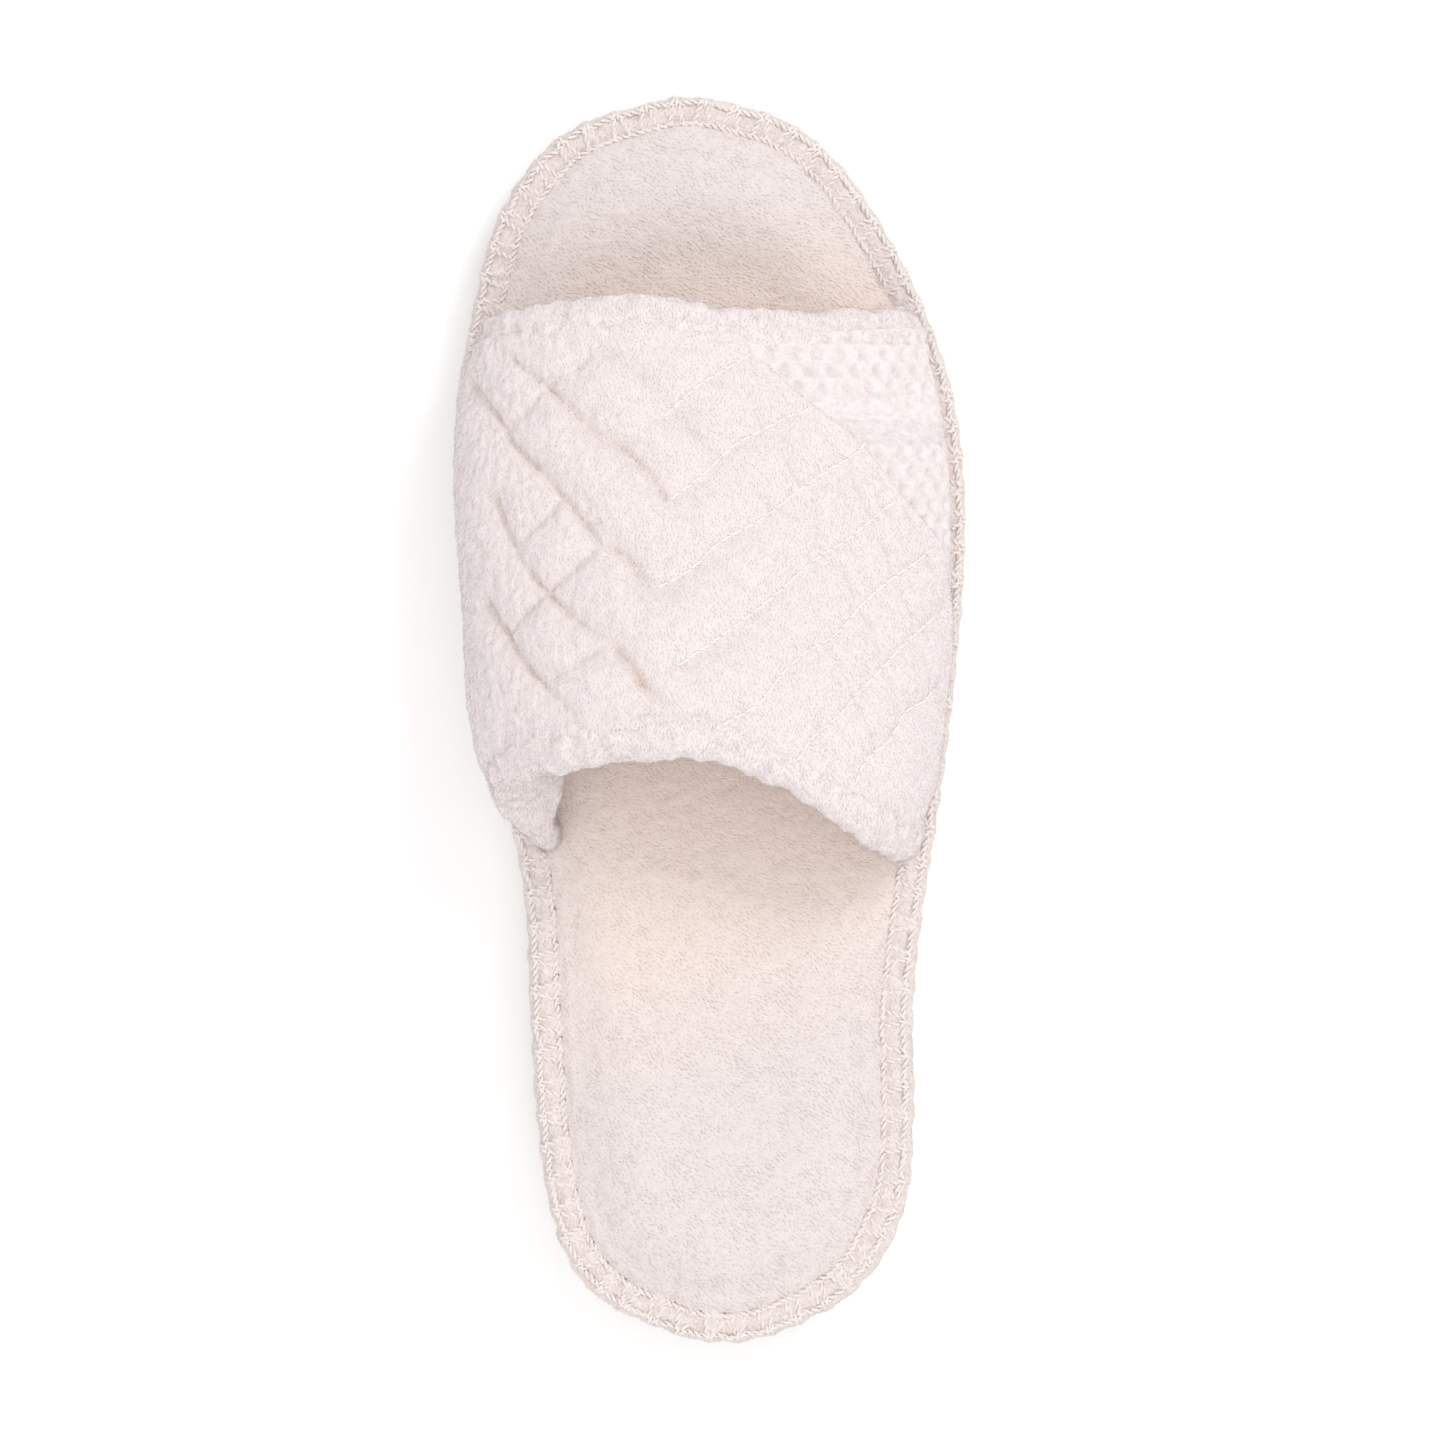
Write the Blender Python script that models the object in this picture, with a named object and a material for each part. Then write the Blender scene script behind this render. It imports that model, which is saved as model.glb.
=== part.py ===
"""A plush scuff slipper for the right foot, toe towards +Y and outer side towards +X.

The sole is a stack of slabs cut from one outline.  The upper and everything on it are
cut from one arched surface, vamp_point(), by how far round the foot, how far along the
shoe and how deep in the wall each point lies.  Lengths are in metres.
"""

from collections import namedtuple

import bmesh
import bpy
import numpy as np

# Overall sizes
LENGTH = 0.265
BALL_WIDTH = 0.110
INSTEP_HEIGHT = 0.067

# Sole
OUTSOLE_THICKNESS = 0.0055
HEEL_STACK = 0.0190
FOREFOOT_STACK = 0.0145
TOE_SPRING = 0.0070
HEEL_LIFT = 0.0015
ARCH_RISE = 0.0015
OUTSOLE_ROUND = 0.0022

# Fabric band that wraps the edge of the sole
BAND_INSET = 0.0012
BAND_THICKNESS = 0.0012
BAND_WIDTH = 0.0064
BAND_ROUND = 0.0020

# Padded sock
SOCK_CROWN = 0.0060
SOCK_SHOULDER = 0.0160

# Upper
WALL = 0.0030
PANEL_THICKNESS = 0.0030
WAFFLE_THICKNESS = 0.0022
TOE_HEM_WIDTH = 0.0075
COLLAR_HEM_WIDTH = 0.0080
HEM_PROUD = 0.0004
BELLY = 0.0064
FRONT_WAVE = 0.0040
COLLAR_DROP_MEDIAL = 0.0200
COLLAR_DROP_LATERAL = 0.0227

# Clearance between pieces that touch on the real slipper
GAP = 0.0003
HEM_GAP = 0.0006

# Where things lie, as shares of the length counted from the heel
HEEL_FLAT = (0.06, 0.40)
FOREFOOT_FLAT = (0.62, 0.78)
HEEL_STACK_ENDS = 0.30
FOREFOOT_STACK_STARTS = 0.66
FRONT_CREST = 0.832
COLLAR_CREST = 0.471

# Shape of a section of the upper: where the belly of the wall sits, as shares of the way
# round and of the way up, how full each flank is, and how far round the outer side the
# collar has run down to its corner
BELLY_TURN = 0.75
BELLY_LEVEL = 0.28
MEDIAL_FULLNESS = 2.1
LATERAL_FULLNESS = 1.7
LATERAL_COLLAR_TURN = 0.64

# Mesh density
OUTLINE_POINTS = 72
TURN_STEPS = 32
UPPER_STEPS = 12
PANEL_STEPS = 10
WAFFLE_STEPS = 6

# How far apart, as a share, two points lie that measure the slope of the surface
SLOPE_STEP = 0.002

# Sole outline: half widths as shares of BALL_WIDTH, one row per station
Station = namedtuple("Station", "along medial lateral")
OUTLINE = (
    Station(0.012, 0.123, 0.132),
    Station(0.035, 0.229, 0.232),
    Station(0.070, 0.300, 0.305),
    Station(0.120, 0.339, 0.357),
    Station(0.180, 0.356, 0.372),
    Station(0.270, 0.366, 0.375),
    Station(0.360, 0.373, 0.406),
    Station(0.440, 0.404, 0.443),
    Station(0.520, 0.445, 0.472),
    Station(0.600, 0.475, 0.495),
    Station(0.680, 0.494, 0.503),
    Station(0.760, 0.486, 0.483),
    Station(0.840, 0.447, 0.420),
    Station(0.900, 0.405, 0.345),
    Station(0.950, 0.322, 0.258),
    Station(0.980, 0.229, 0.164),
    Station(0.993, 0.127, 0.073),
)
HEEL_TIP_SIDE = 0.000
TOE_TIP_SIDE = -0.027

# Sections of the upper: ridge height as a share of INSTEP_HEIGHT, how far the ridge
# stands to the outer side as a share of BALL_WIDTH, and how far each flank bellies out
# over the feather line as a share of BELLY
Section = namedtuple("Section", "along ridge_up ridge_side medial_belly lateral_belly")
VAMP = (
    Section(0.86, 0.68, -0.122, 0.20, 0.12),
    Section(0.74, 0.76, -0.100, 0.20, 0.12),
    Section(0.60, 0.86, -0.070, 0.40, 0.12),
    Section(0.50, 0.95, -0.050, 0.85, 0.12),
    Section(0.36, 1.02, -0.040, 1.00, 0.12),
)

# Edge of the toe opening: how far it lies behind its foremost point, as a share of
# FRONT_WAVE, against the way round the foot
EdgePoint = namedtuple("EdgePoint", "turn back")
FRONT_EDGE = (
    EdgePoint(-1.00, 1.00),
    EdgePoint(-0.57, 0.55),
    EdgePoint(-0.24, 0.25),
    EdgePoint(0.04, 0.00),
    EdgePoint(0.19, 0.70),
    EdgePoint(0.31, 0.80),
    EdgePoint(0.58, 0.50),
    EdgePoint(1.00, 0.20),
)

# Seam where the quilted panel laps the waffle-knit corner: way round against way along
SeamPoint = namedtuple("SeamPoint", "turn along")
PANEL_SEAM = (
    SeamPoint(0.20, 0.790),
    SeamPoint(0.30, 0.745),
    SeamPoint(0.37, 0.722),
    SeamPoint(0.47, 0.677),
    SeamPoint(0.64, 0.632),
    SeamPoint(1.00, 0.583),
)
WAFFLE_STARTS = 0.25

# Rolled hem, seen along its run: share of its width and share of its depth
HemPoint = namedtuple("HemPoint", "out down")
HEM_SECTION = (
    HemPoint(0.00, 0.04),
    HemPoint(0.28, 0.00),
    HemPoint(0.66, 0.06),
    HemPoint(0.91, 0.24),
    HemPoint(1.00, 0.50),
    HemPoint(0.91, 0.76),
    HemPoint(0.66, 0.94),
    HemPoint(0.28, 1.00),
    HemPoint(0.00, 0.96),
    HemPoint(0.00, 0.50),
)

# Worked out from the sizes above
BAND_INNER = BAND_INSET + BAND_WIDTH
FEATHER = BAND_INNER - PANEL_THICKNESS
UPPER_DEPTH = PANEL_THICKNESS + GAP
UPPER_INNER_DEPTH = UPPER_DEPTH + WALL

Finish = namedtuple("Finish", "color roughness")
FINISHES = {
    "moulded_outsole": Finish((0.80, 0.76, 0.72), 0.55),
    "midsole_foam": Finish((0.78, 0.74, 0.70), 0.85),
    "sock_plush": Finish((0.86, 0.79, 0.75), 0.95),
    "binding_fabric": Finish((0.85, 0.79, 0.76), 0.90),
    "lining_fleece": Finish((0.84, 0.77, 0.73), 0.95),
    "quilted_plush": Finish((0.89, 0.83, 0.82), 0.95),
    "waffle_knit": Finish((0.88, 0.83, 0.80), 0.90),
    "hem_plush": Finish((0.90, 0.85, 0.84), 0.95),
}


def ramp(value, start, end):
    """0 before start, 1 after end, straight between them."""
    return np.clip((value - start) / (end - start), 0.0, 1.0)


def ease(share):
    """The same share with soft ends."""
    return share * share * (3.0 - 2.0 * share)


def through(knots, values, at):
    """A smooth curve through the given values."""
    knots = np.asarray(knots, float)
    values = np.asarray(values, float)
    slopes = np.gradient(values, knots)
    at = np.clip(at, knots[0], knots[-1])
    low = np.clip(np.searchsorted(knots, at) - 1, 0, len(knots) - 2)
    span = knots[low + 1] - knots[low]
    t = (at - knots[low]) / span
    rise = values[low + 1] - values[low]
    start = slopes[low] * span
    end = slopes[low + 1] * span
    bend = (3.0 * rise - 2.0 * start - end) * t**2
    return values[low] + start * t + bend + (start + end - 2.0 * rise) * t**3


def column(table, name):
    return [getattr(row, name) for row in table]


def share_of_length(y):
    return y / LENGTH + 0.5


def length_at(share):
    return (share - 0.5) * LENGTH


def ground_lift(y):
    """Height of the underside over the floor: toe spring, arch and a lift behind the heel."""
    share = share_of_length(y)
    toe = TOE_SPRING * ramp(share, FOREFOOT_FLAT[1], 1.0) ** 2
    heel = HEEL_LIFT * ramp(share, HEEL_FLAT[0], 0.0) ** 2
    arch = ARCH_RISE * np.sin(np.pi * ramp(share, HEEL_FLAT[1], FOREFOOT_FLAT[0])) ** 2
    return toe + heel + arch


def outsole_top(y):
    return ground_lift(y) + OUTSOLE_THICKNESS


def band_top(y):
    """Height of the top of the edge band, which is thicker under the heel."""
    heel_share = ease(ramp(share_of_length(y), FOREFOOT_STACK_STARTS, HEEL_STACK_ENDS))
    stack = FOREFOOT_STACK + (HEEL_STACK - FOREFOOT_STACK) * heel_share
    return ground_lift(y) + stack


def sock_top(y, inset):
    """Height of the sock, which swells from its seam along the band."""
    share = ramp(inset, BAND_INNER, BAND_INNER + SOCK_SHOULDER)
    return band_top(y) + SOCK_CROWN * (1.0 - (1.0 - share) ** 2)


def outline_ring(count):
    """The sole's outline as an even number of points, from the heel up the inner side.

    Point k and point count - 1 - k face each other across the sole.
    """
    angles = [np.arccos(1.0 - 2.0 * row.along) for row in OUTLINE]
    inner = [-row.medial for row in OUTLINE]
    outer = [row.lateral for row in OUTLINE]
    turn = 2.0 * np.pi
    knots = [0.0, *angles, np.pi, *(turn - a for a in reversed(angles))]
    sides = [HEEL_TIP_SIDE, *inner, TOE_TIP_SIDE, *reversed(outer)]
    knots = np.concatenate([np.subtract(knots, turn), knots, np.add(knots, turn)])
    step = turn / count
    at = (np.arange(count) + 0.5) * step
    x = through(knots, sides * 3, at) * BALL_WIDTH
    y = -0.5 * LENGTH * np.cos(at) / np.cos(0.5 * step)
    x -= 0.5 * (x.min() + x.max())
    return np.column_stack([x, y])


def inset_ring(ring, inset):
    """The ring moved inwards by the given distance."""
    along = np.roll(ring, -1, axis=0) - np.roll(ring, 1, axis=0)
    along /= np.linalg.norm(along, axis=1)[:, None]
    inwards = np.column_stack([along[:, 1], -along[:, 0]])
    return ring + inwards * inset


def sole_loop(inset, height):
    """One closed loop round the sole, at a height that follows the length."""
    flat = inset_ring(outline_ring(OUTLINE_POINTS), inset)
    return np.column_stack([flat, height(flat[:, 1])])


def above(height, rise):
    return lambda y: height(y) + rise


FEATHER_LINE = inset_ring(outline_ring(OUTLINE_POINTS * 6), FEATHER)
FEATHER_HALF = len(FEATHER_LINE) // 2


def feather_sides(y):
    """The inner and outer edge of the upper's foot at this place along the shoe."""
    inner = FEATHER_LINE[:FEATHER_HALF]
    outer = FEATHER_LINE[FEATHER_HALF:][::-1]
    return np.interp(y, inner[:, 1], inner[:, 0]), np.interp(y, outer[:, 1], outer[:, 0])


def vamp_surface(turn, y):
    """The outer face of the upper: turn runs from -1, inner foot, over 0, ridge, to 1."""
    share = share_of_length(y)
    along = column(VAMP, "along")
    inner, outer = feather_sides(y)
    foot = band_top(y)
    ridge_x = through(along[::-1], column(VAMP, "ridge_side")[::-1], share) * BALL_WIDTH
    ridge_up = through(along[::-1], column(VAMP, "ridge_up")[::-1], share)
    ridge_z = ground_lift(y) + ridge_up * INSTEP_HEIGHT
    lateral = turn > 0.0
    bellies = np.where(
        lateral,
        through(along[::-1], column(VAMP, "lateral_belly")[::-1], share),
        through(along[::-1], column(VAMP, "medial_belly")[::-1], share),
    )
    belly = bellies * BELLY
    reach = np.where(lateral, outer - ridge_x, ridge_x - inner) + belly
    power = 2.0 / np.where(lateral, LATERAL_FULLNESS, MEDIAL_FULLNESS)
    round_to = 0.5 * np.pi * ramp(np.abs(turn), 0.0, BELLY_TURN)
    tuck = ramp(np.abs(turn), BELLY_TURN, 1.0)
    belly_z = foot + BELLY_LEVEL * (ridge_z - foot)
    out = reach * np.sin(round_to) ** power - belly * tuck**2
    up = belly_z + (ridge_z - belly_z) * np.maximum(np.cos(round_to), 0.0) ** power
    z = np.where(tuck > 0.0, belly_z + (foot - belly_z) * tuck, up)
    x = ridge_x + np.where(lateral, out, -out)
    return np.stack([x, y + 0.0 * x, z], axis=-1)


def vamp_point(turn, y, depth):
    """A point in the wall of the upper, at a depth below its outer face."""
    turn, y, depth = np.broadcast_arrays(turn, y, depth)
    low = vamp_surface(np.maximum(turn - SLOPE_STEP, -1.0), y)
    high = vamp_surface(np.minimum(turn + SLOPE_STEP, 1.0), y)
    step = SLOPE_STEP * LENGTH
    ahead = vamp_surface(turn, y + step) - vamp_surface(turn, y - step)
    normal = np.cross(high - low, ahead)
    normal /= np.linalg.norm(normal, axis=-1)[..., None]
    point = vamp_surface(turn, y) - normal * depth[..., None]
    seat = sock_top(point[..., 1], FEATHER + depth) + GAP
    at_foot = np.isclose(np.abs(turn), 1.0)
    point[..., 2] = np.where(at_foot, seat, point[..., 2])
    return point


def front_rim(turn):
    """Where the toe opening's edge lies along the shoe."""
    back = through(column(FRONT_EDGE, "turn"), column(FRONT_EDGE, "back"), turn)
    return length_at(FRONT_CREST) - FRONT_WAVE * back


def collar_rim(turn):
    """Where the collar's edge lies: it runs back towards the heel on its way down."""
    outer = ease(ramp(turn, 0.0, LATERAL_COLLAR_TURN)) * COLLAR_DROP_LATERAL
    inner = turn**2 * COLLAR_DROP_MEDIAL
    return length_at(COLLAR_CREST) - np.where(turn > 0.0, outer, inner)


def shell_front(turn):
    """Front edge of the wall and panels, where the toe hem begins."""
    return front_rim(turn) - TOE_HEM_WIDTH - HEM_GAP


def shell_back(turn):
    """Rear edge of the wall and panels, where the collar hem begins."""
    return collar_rim(turn) + COLLAR_HEM_WIDTH + HEM_GAP


def seam_line(turn):
    """The seam between the quilted panel and the waffle-knit corner."""
    turns = column(PANEL_SEAM, "turn")
    return length_at(through(turns, column(PANEL_SEAM, "along"), turn))


def quilt_front(turn):
    front = shell_front(turn)
    return np.where(turn < PANEL_SEAM[0].turn, front, np.minimum(front, seam_line(turn)))


def material(name):
    found = bpy.data.materials.get(name)
    if found:
        return found
    made = bpy.data.materials.new(name)
    made.use_nodes = True
    shader = made.node_tree.nodes["Principled BSDF"]
    shader.inputs["Base Color"].default_value = (*FINISHES[name].color, 1.0)
    shader.inputs["Roughness"].default_value = FINISHES[name].roughness
    shader.inputs["Metallic"].default_value = 0.0
    return made


def loft(name, finish, loops, closed=False):
    """A solid through closed loops of as many points each.

    Its ends are closed by a ladder of faces from point k to point count - 1 - k, or the
    last loop joins the first.
    """
    loops = np.asarray(loops)
    count = loops.shape[1]
    shape = bmesh.new()
    rows = [[shape.verts.new(point) for point in loop] for loop in loops]
    pairs = list(zip(rows, rows[1:]))
    if closed:
        pairs.append((rows[-1], rows[0]))
    for here, there in pairs:
        for k in range(count):
            after = (k + 1) % count
            shape.faces.new((here[k], here[after], there[after], there[k]))
    for end in () if closed else (rows[0], rows[-1]):
        for k in range(count // 2 - 1):
            shape.faces.new((end[k], end[k + 1], end[count - 2 - k], end[count - 1 - k]))
    bmesh.ops.recalc_face_normals(shape, faces=shape.faces)
    mesh = bpy.data.meshes.new(name)
    shape.to_mesh(mesh)
    shape.free()
    mesh.materials.append(material(finish))
    mesh.shade_smooth()
    mesh.set_sharp_from_angle(angle=np.radians(40.0))
    piece = bpy.data.objects.new(name, mesh)
    bpy.data.collections["scuff_slipper"].objects.link(piece)
    return piece


def outsole():
    rounded = OUTSOLE_ROUND
    loops = (
        sole_loop(rounded, ground_lift),
        sole_loop(0.3 * rounded, above(ground_lift, 0.3 * rounded)),
        sole_loop(0.0, above(ground_lift, rounded)),
        sole_loop(0.0, above(outsole_top, -0.3 * rounded)),
        sole_loop(0.3 * rounded, outsole_top),
    )
    loft("outsole", "moulded_outsole", loops)


def midsole():
    side = BAND_INSET + BAND_THICKNESS + GAP
    top = -(BAND_THICKNESS + GAP)
    loops = (
        sole_loop(side, above(outsole_top, GAP)),
        sole_loop(side, above(band_top, top - 0.6 * BAND_ROUND)),
        sole_loop(side + 0.6 * BAND_ROUND, above(band_top, top)),
    )
    loft("midsole", "midsole_foam", loops)


def edge_binding():
    """A strip of fabric from the outsole up the side and over the edge of the footbed."""
    outer = BAND_INSET
    inner = BAND_INSET + BAND_THICKNESS
    under = -BAND_THICKNESS
    profile = (
        sole_loop(outer, above(outsole_top, GAP)),
        sole_loop(outer, above(band_top, -BAND_ROUND)),
        sole_loop(outer + 0.3 * BAND_ROUND, above(band_top, -0.3 * BAND_ROUND)),
        sole_loop(outer + BAND_ROUND, band_top),
        sole_loop(BAND_INNER, band_top),
        sole_loop(BAND_INNER, above(band_top, under)),
        sole_loop(inner + 0.6 * BAND_ROUND, above(band_top, under)),
        sole_loop(inner, above(band_top, under - 0.6 * BAND_ROUND)),
        sole_loop(inner, above(outsole_top, GAP)),
    )
    loft("edge_binding", "binding_fabric", np.swapaxes(profile, 0, 1), closed=True)


def insole():
    """The padded sock, lying on the midsole inside the band."""
    edge = BAND_INNER + GAP
    insets = [edge + SOCK_SHOULDER * share for share in (0.0, 0.12, 0.28, 0.52, 1.0)]
    loops = [sole_loop(edge, above(band_top, -BAND_THICKNESS))]
    for inset in insets:
        loops.append(sole_loop(inset, lambda y, inset=inset: sock_top(y, inset)))
    loft("insole", "sock_plush", loops)


def shell(name, finish, turns, front, back, top_depth, under_depth, steps):
    """A piece of the upper's wall between two depths and two lines across the foot."""
    loops = []
    for share in np.linspace(0.0, 1.0, steps + 1):
        y = front(turns) + (back(turns) - front(turns)) * share
        outside = vamp_point(turns, y, top_depth)
        inside = vamp_point(turns, y, under_depth)
        loops.append(np.concatenate([outside, inside[::-1]]))
    loft(name, finish, loops)


def hem(name, turns, edge, rim):
    """A rolled plush hem that closes the wall's edge, from edge out to rim."""
    loops = []
    for turn in turns:
        y = [edge(turn) + (rim(turn) - edge(turn)) * point.out for point in HEM_SECTION]
        full_depth = UPPER_INNER_DEPTH + 2.0 * HEM_PROUD
        depth = [full_depth * point.down - HEM_PROUD for point in HEM_SECTION]
        loops.append(vamp_point(np.full(len(y), turn), np.array(y), np.array(depth)))
    loft(name, "hem_plush", loops)


def upper():
    turns = np.linspace(-1.0, 1.0, TURN_STEPS + 1)
    beyond = turns[turns > WAFFLE_STARTS + SLOPE_STEP]
    waffle_turns = np.concatenate([[WAFFLE_STARTS], beyond])
    waffle_top = PANEL_THICKNESS - WAFFLE_THICKNESS
    shell("upper", "lining_fleece", turns, shell_front, shell_back,
          UPPER_DEPTH, UPPER_INNER_DEPTH, UPPER_STEPS)
    shell("quilted_panel", "quilted_plush", turns, quilt_front, shell_back,
          0.0, PANEL_THICKNESS, PANEL_STEPS)
    shell("waffle_panel", "waffle_knit", waffle_turns, shell_front,
          lambda turn: seam_line(turn) + 2.0 * GAP,
          waffle_top, PANEL_THICKNESS, WAFFLE_STEPS)
    hem("toe_hem", turns, lambda turn: shell_front(turn) + HEM_GAP, front_rim)
    hem("collar_hem", turns, lambda turn: shell_back(turn) - HEM_GAP, collar_rim)


def main():
    for thing in list(bpy.data.objects):
        bpy.data.objects.remove(thing, do_unlink=True)
    collection = bpy.data.collections.new("scuff_slipper")
    bpy.context.scene.collection.children.link(collection)
    outsole()
    midsole()
    edge_binding()
    insole()
    upper()


main()
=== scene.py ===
# %% [markdown]
# A plush scuff slipper for the right foot, built up from its parts as a maker sews it.
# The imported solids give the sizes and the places.  This lesson gives every surface its
# cloth, its nap, its stitching and its padding.  Blender works in metres, and MM turns a
# size that a maker would read off a ruler into them.
# %% The frame
import math
from collections import namedtuple

import bmesh
import bpy
import numpy as np
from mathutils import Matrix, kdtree, noise


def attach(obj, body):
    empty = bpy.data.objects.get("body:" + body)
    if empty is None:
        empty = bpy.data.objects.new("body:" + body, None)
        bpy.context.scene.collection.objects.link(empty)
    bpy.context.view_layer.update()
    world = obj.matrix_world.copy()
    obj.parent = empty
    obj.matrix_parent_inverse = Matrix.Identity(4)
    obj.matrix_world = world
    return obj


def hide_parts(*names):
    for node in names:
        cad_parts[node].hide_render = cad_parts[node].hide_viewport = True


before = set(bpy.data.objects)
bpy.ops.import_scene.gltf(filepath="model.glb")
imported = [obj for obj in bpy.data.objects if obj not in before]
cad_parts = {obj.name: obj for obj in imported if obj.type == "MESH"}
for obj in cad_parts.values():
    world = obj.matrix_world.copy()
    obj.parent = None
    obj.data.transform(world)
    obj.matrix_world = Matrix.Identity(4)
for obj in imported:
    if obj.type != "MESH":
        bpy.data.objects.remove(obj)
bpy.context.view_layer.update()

MM = 0.001
SCENE = bpy.context.scene
print("solids:", sorted(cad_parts))

# %% [markdown]
# The camera of a shop photograph looks straight down from about arm's length.  Its frame
# is found from one known size: the sole is 265 mm long and fills 1245 of 1440 pixels.
# The slipper lies a little askew in that picture, so the camera is rolled and the
# slipper itself stays square to its own axes.
# %% Camera
IMAGE_PIXELS = 1440
SOLE_PIXELS = 1245
CAMERA_HEIGHT = 900.0 * MM
SCALE_HEIGHT = 15.0 * MM
CAMERA_SPOT = (1.2 * MM, -0.1 * MM)
CAMERA_ROLL = -1.2
SENSOR = 36.0


def placed(name, data):
    """Puts a mesh, a lamp or a camera into the scene as an object."""
    made = bpy.data.objects.new(name, data)
    SCENE.collection.objects.link(made)
    return made


LENGTH = 265.0 * MM
frame_width = IMAGE_PIXELS * LENGTH / SOLE_PIXELS
camera = placed("camera", bpy.data.cameras.new("camera"))
camera.data.sensor_width = SENSOR
camera.data.lens = SENSOR * (CAMERA_HEIGHT - SCALE_HEIGHT) / frame_width
camera.location = (*CAMERA_SPOT, CAMERA_HEIGHT)
camera.rotation_euler = (0.0, 0.0, math.radians(CAMERA_ROLL))
SCENE.camera = camera
print("frame", round(frame_width / MM, 1), "mm wide, lens", round(camera.data.lens, 1), "mm")


# %% [markdown]
# Colours are written as the sRGB hex values that a picture editor shows, and one function
# turns them into the linear values that shaders work in.  Another adds a node to any
# tree, sets it up and links it, so that each recipe below reads from top to bottom.
# %% Helpers for colours and nodes
def linear(hex_code):
    parts = [int(hex_code[start : start + 2], 16) / 255.0 for start in (1, 3, 5)]
    curve = [p / 12.92 if p <= 0.04045 else ((p + 0.055) / 1.055) ** 2.4 for p in parts]
    return (*curve, 1.0)


def add(tree, kind, feeds=(), **settings):
    """Adds a node and returns its outputs.  A feed is a value or another node's socket."""
    node = tree.nodes.new(kind)
    for name, value in settings.items():
        setattr(node, name, value)
    for key, value in dict(feeds).items():
        live = [socket for socket in node.inputs if socket.enabled]
        socket = live[key] if isinstance(key, int) else next(s for s in live if s.name == key)
        if isinstance(value, bpy.types.NodeSocket):
            tree.links.new(value, socket)
        else:
            socket.default_value = value
    return [socket for socket in node.outputs if socket.enabled]


print("the hex grey #808080 is", round(linear("#808080")[0], 3), "in linear light")


# %% [markdown]
# Plush is a knit whose loops are cut open.  The eye knows it by its soft edges, by fibres
# that lie together in short curls, and by fine dark gaps between them.  A rough surface
# with some sheen gives the soft edges.  Two noises drive colour and bump together: one as
# large as the clumps, and one drawn out along the way that the fibres lie.  Where the bump
# is low, the colour turns to the hollow colour, which is painted shade in those hollows.
# A third noise bends the fibres' way into curls.
# Where a mesh carries the shade attribute, the cloth turns towards a tan tint.  That tint
# is painted shade: the upper's shadow with its warm bounced light on the footbed, and the
# shade in the deep creases of the quilting.
# %% Recipe for cloth
CLOTH_ROUGHNESS = 0.95
CLOTH_SPECULAR = 0.20
SHEEN_ROUGHNESS = 0.50
CURL_SIZE = 5.0
CLUMP_DETAIL = 3.0
CURL_DETAIL = 1.0
FIBRE_DETAIL = 2.0
FIBRE_ROUGHNESS = 0.6
HOLLOW_RELIEF = 0.75
LIGHT_RELIEF = 1.20
OBJECT_OUTPUT = 3
# Painted shade in the quilting's deep creases: a tan tint.
SHADE_TAN = "#D9BDAA"
# Painted shade on the footbed: a warm tint where the upper's shadow and its bounced light fall.
PILE_SHADE_TINT = "#F0DED3"


def cloth(name, light, hollow_shade, clump, fibre, length, bump, sheen, lie=-35.0, curl=0.0, shade_tint=SHADE_TAN):
    """A cloth between two near colours.  Its clumps and fibres are sized in millimetres."""
    made = bpy.data.materials.new(name)
    made.use_nodes = True
    tree = made.node_tree
    shader = tree.nodes["Principled BSDF"].inputs
    place = add(tree, "ShaderNodeTexCoord")[OBJECT_OUTPUT]
    clumps = add(tree, "ShaderNodeTexNoise", {
        "Vector": place, "Scale": 1.0 / (clump * MM), "Detail": CLUMP_DETAIL})[0]
    drift = add(tree, "ShaderNodeTexNoise", {
        "Vector": place, "Scale": 1.0 / (CURL_SIZE * MM), "Detail": CURL_DETAIL})[1]
    bent = add(tree, "ShaderNodeVectorMath", {
        0: drift, 1: (curl * MM,) * 3, 2: place}, operation="MULTIPLY_ADD")[0]
    turned = add(tree, "ShaderNodeVectorRotate", {
        "Vector": bent, "Angle": math.radians(-lie)}, rotation_type="Z_AXIS")[0]
    drawn = add(tree, "ShaderNodeVectorMath", {
        0: turned, 1: (fibre / length, 1.0, 1.0)}, operation="MULTIPLY")[0]
    fibres = add(tree, "ShaderNodeTexNoise", {
        "Vector": drawn, "Scale": 1.0 / (fibre * MM), "Detail": FIBRE_DETAIL,
        "Roughness": FIBRE_ROUGHNESS})[0]
    relief = add(tree, "ShaderNodeMath", {0: clumps, 1: fibres}, operation="ADD")[0]
    share = add(tree, "ShaderNodeMapRange", {
        "Value": relief, "From Min": HOLLOW_RELIEF, "From Max": LIGHT_RELIEF})[0]
    color = add(tree, "ShaderNodeMix", {
        "Factor": share, "A": linear(hollow_shade), "B": linear(light)}, data_type="RGBA")[0]
    # Painted shade: a point attribute turns the colour towards the shade tint.
    painted_shade = add(tree, "ShaderNodeAttribute", attribute_name="painted_shade")[2]
    shown = add(tree, "ShaderNodeMix", {
        "Factor": painted_shade, "A": color, "B": linear(shade_tint)}, data_type="RGBA")[0]
    normal = add(tree, "ShaderNodeBump", {
        "Height": relief, "Strength": bump, "Distance": fibre * MM})[0]
    tree.links.new(shown, shader["Base Color"])
    tree.links.new(normal, shader["Normal"])
    shader["Roughness"].default_value = CLOTH_ROUGHNESS
    shader["Specular IOR Level"].default_value = CLOTH_SPECULAR
    shader["Sheen Weight"].default_value = sheen
    shader["Sheen Roughness"].default_value = SHEEN_ROUGHNESS
    return made


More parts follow.
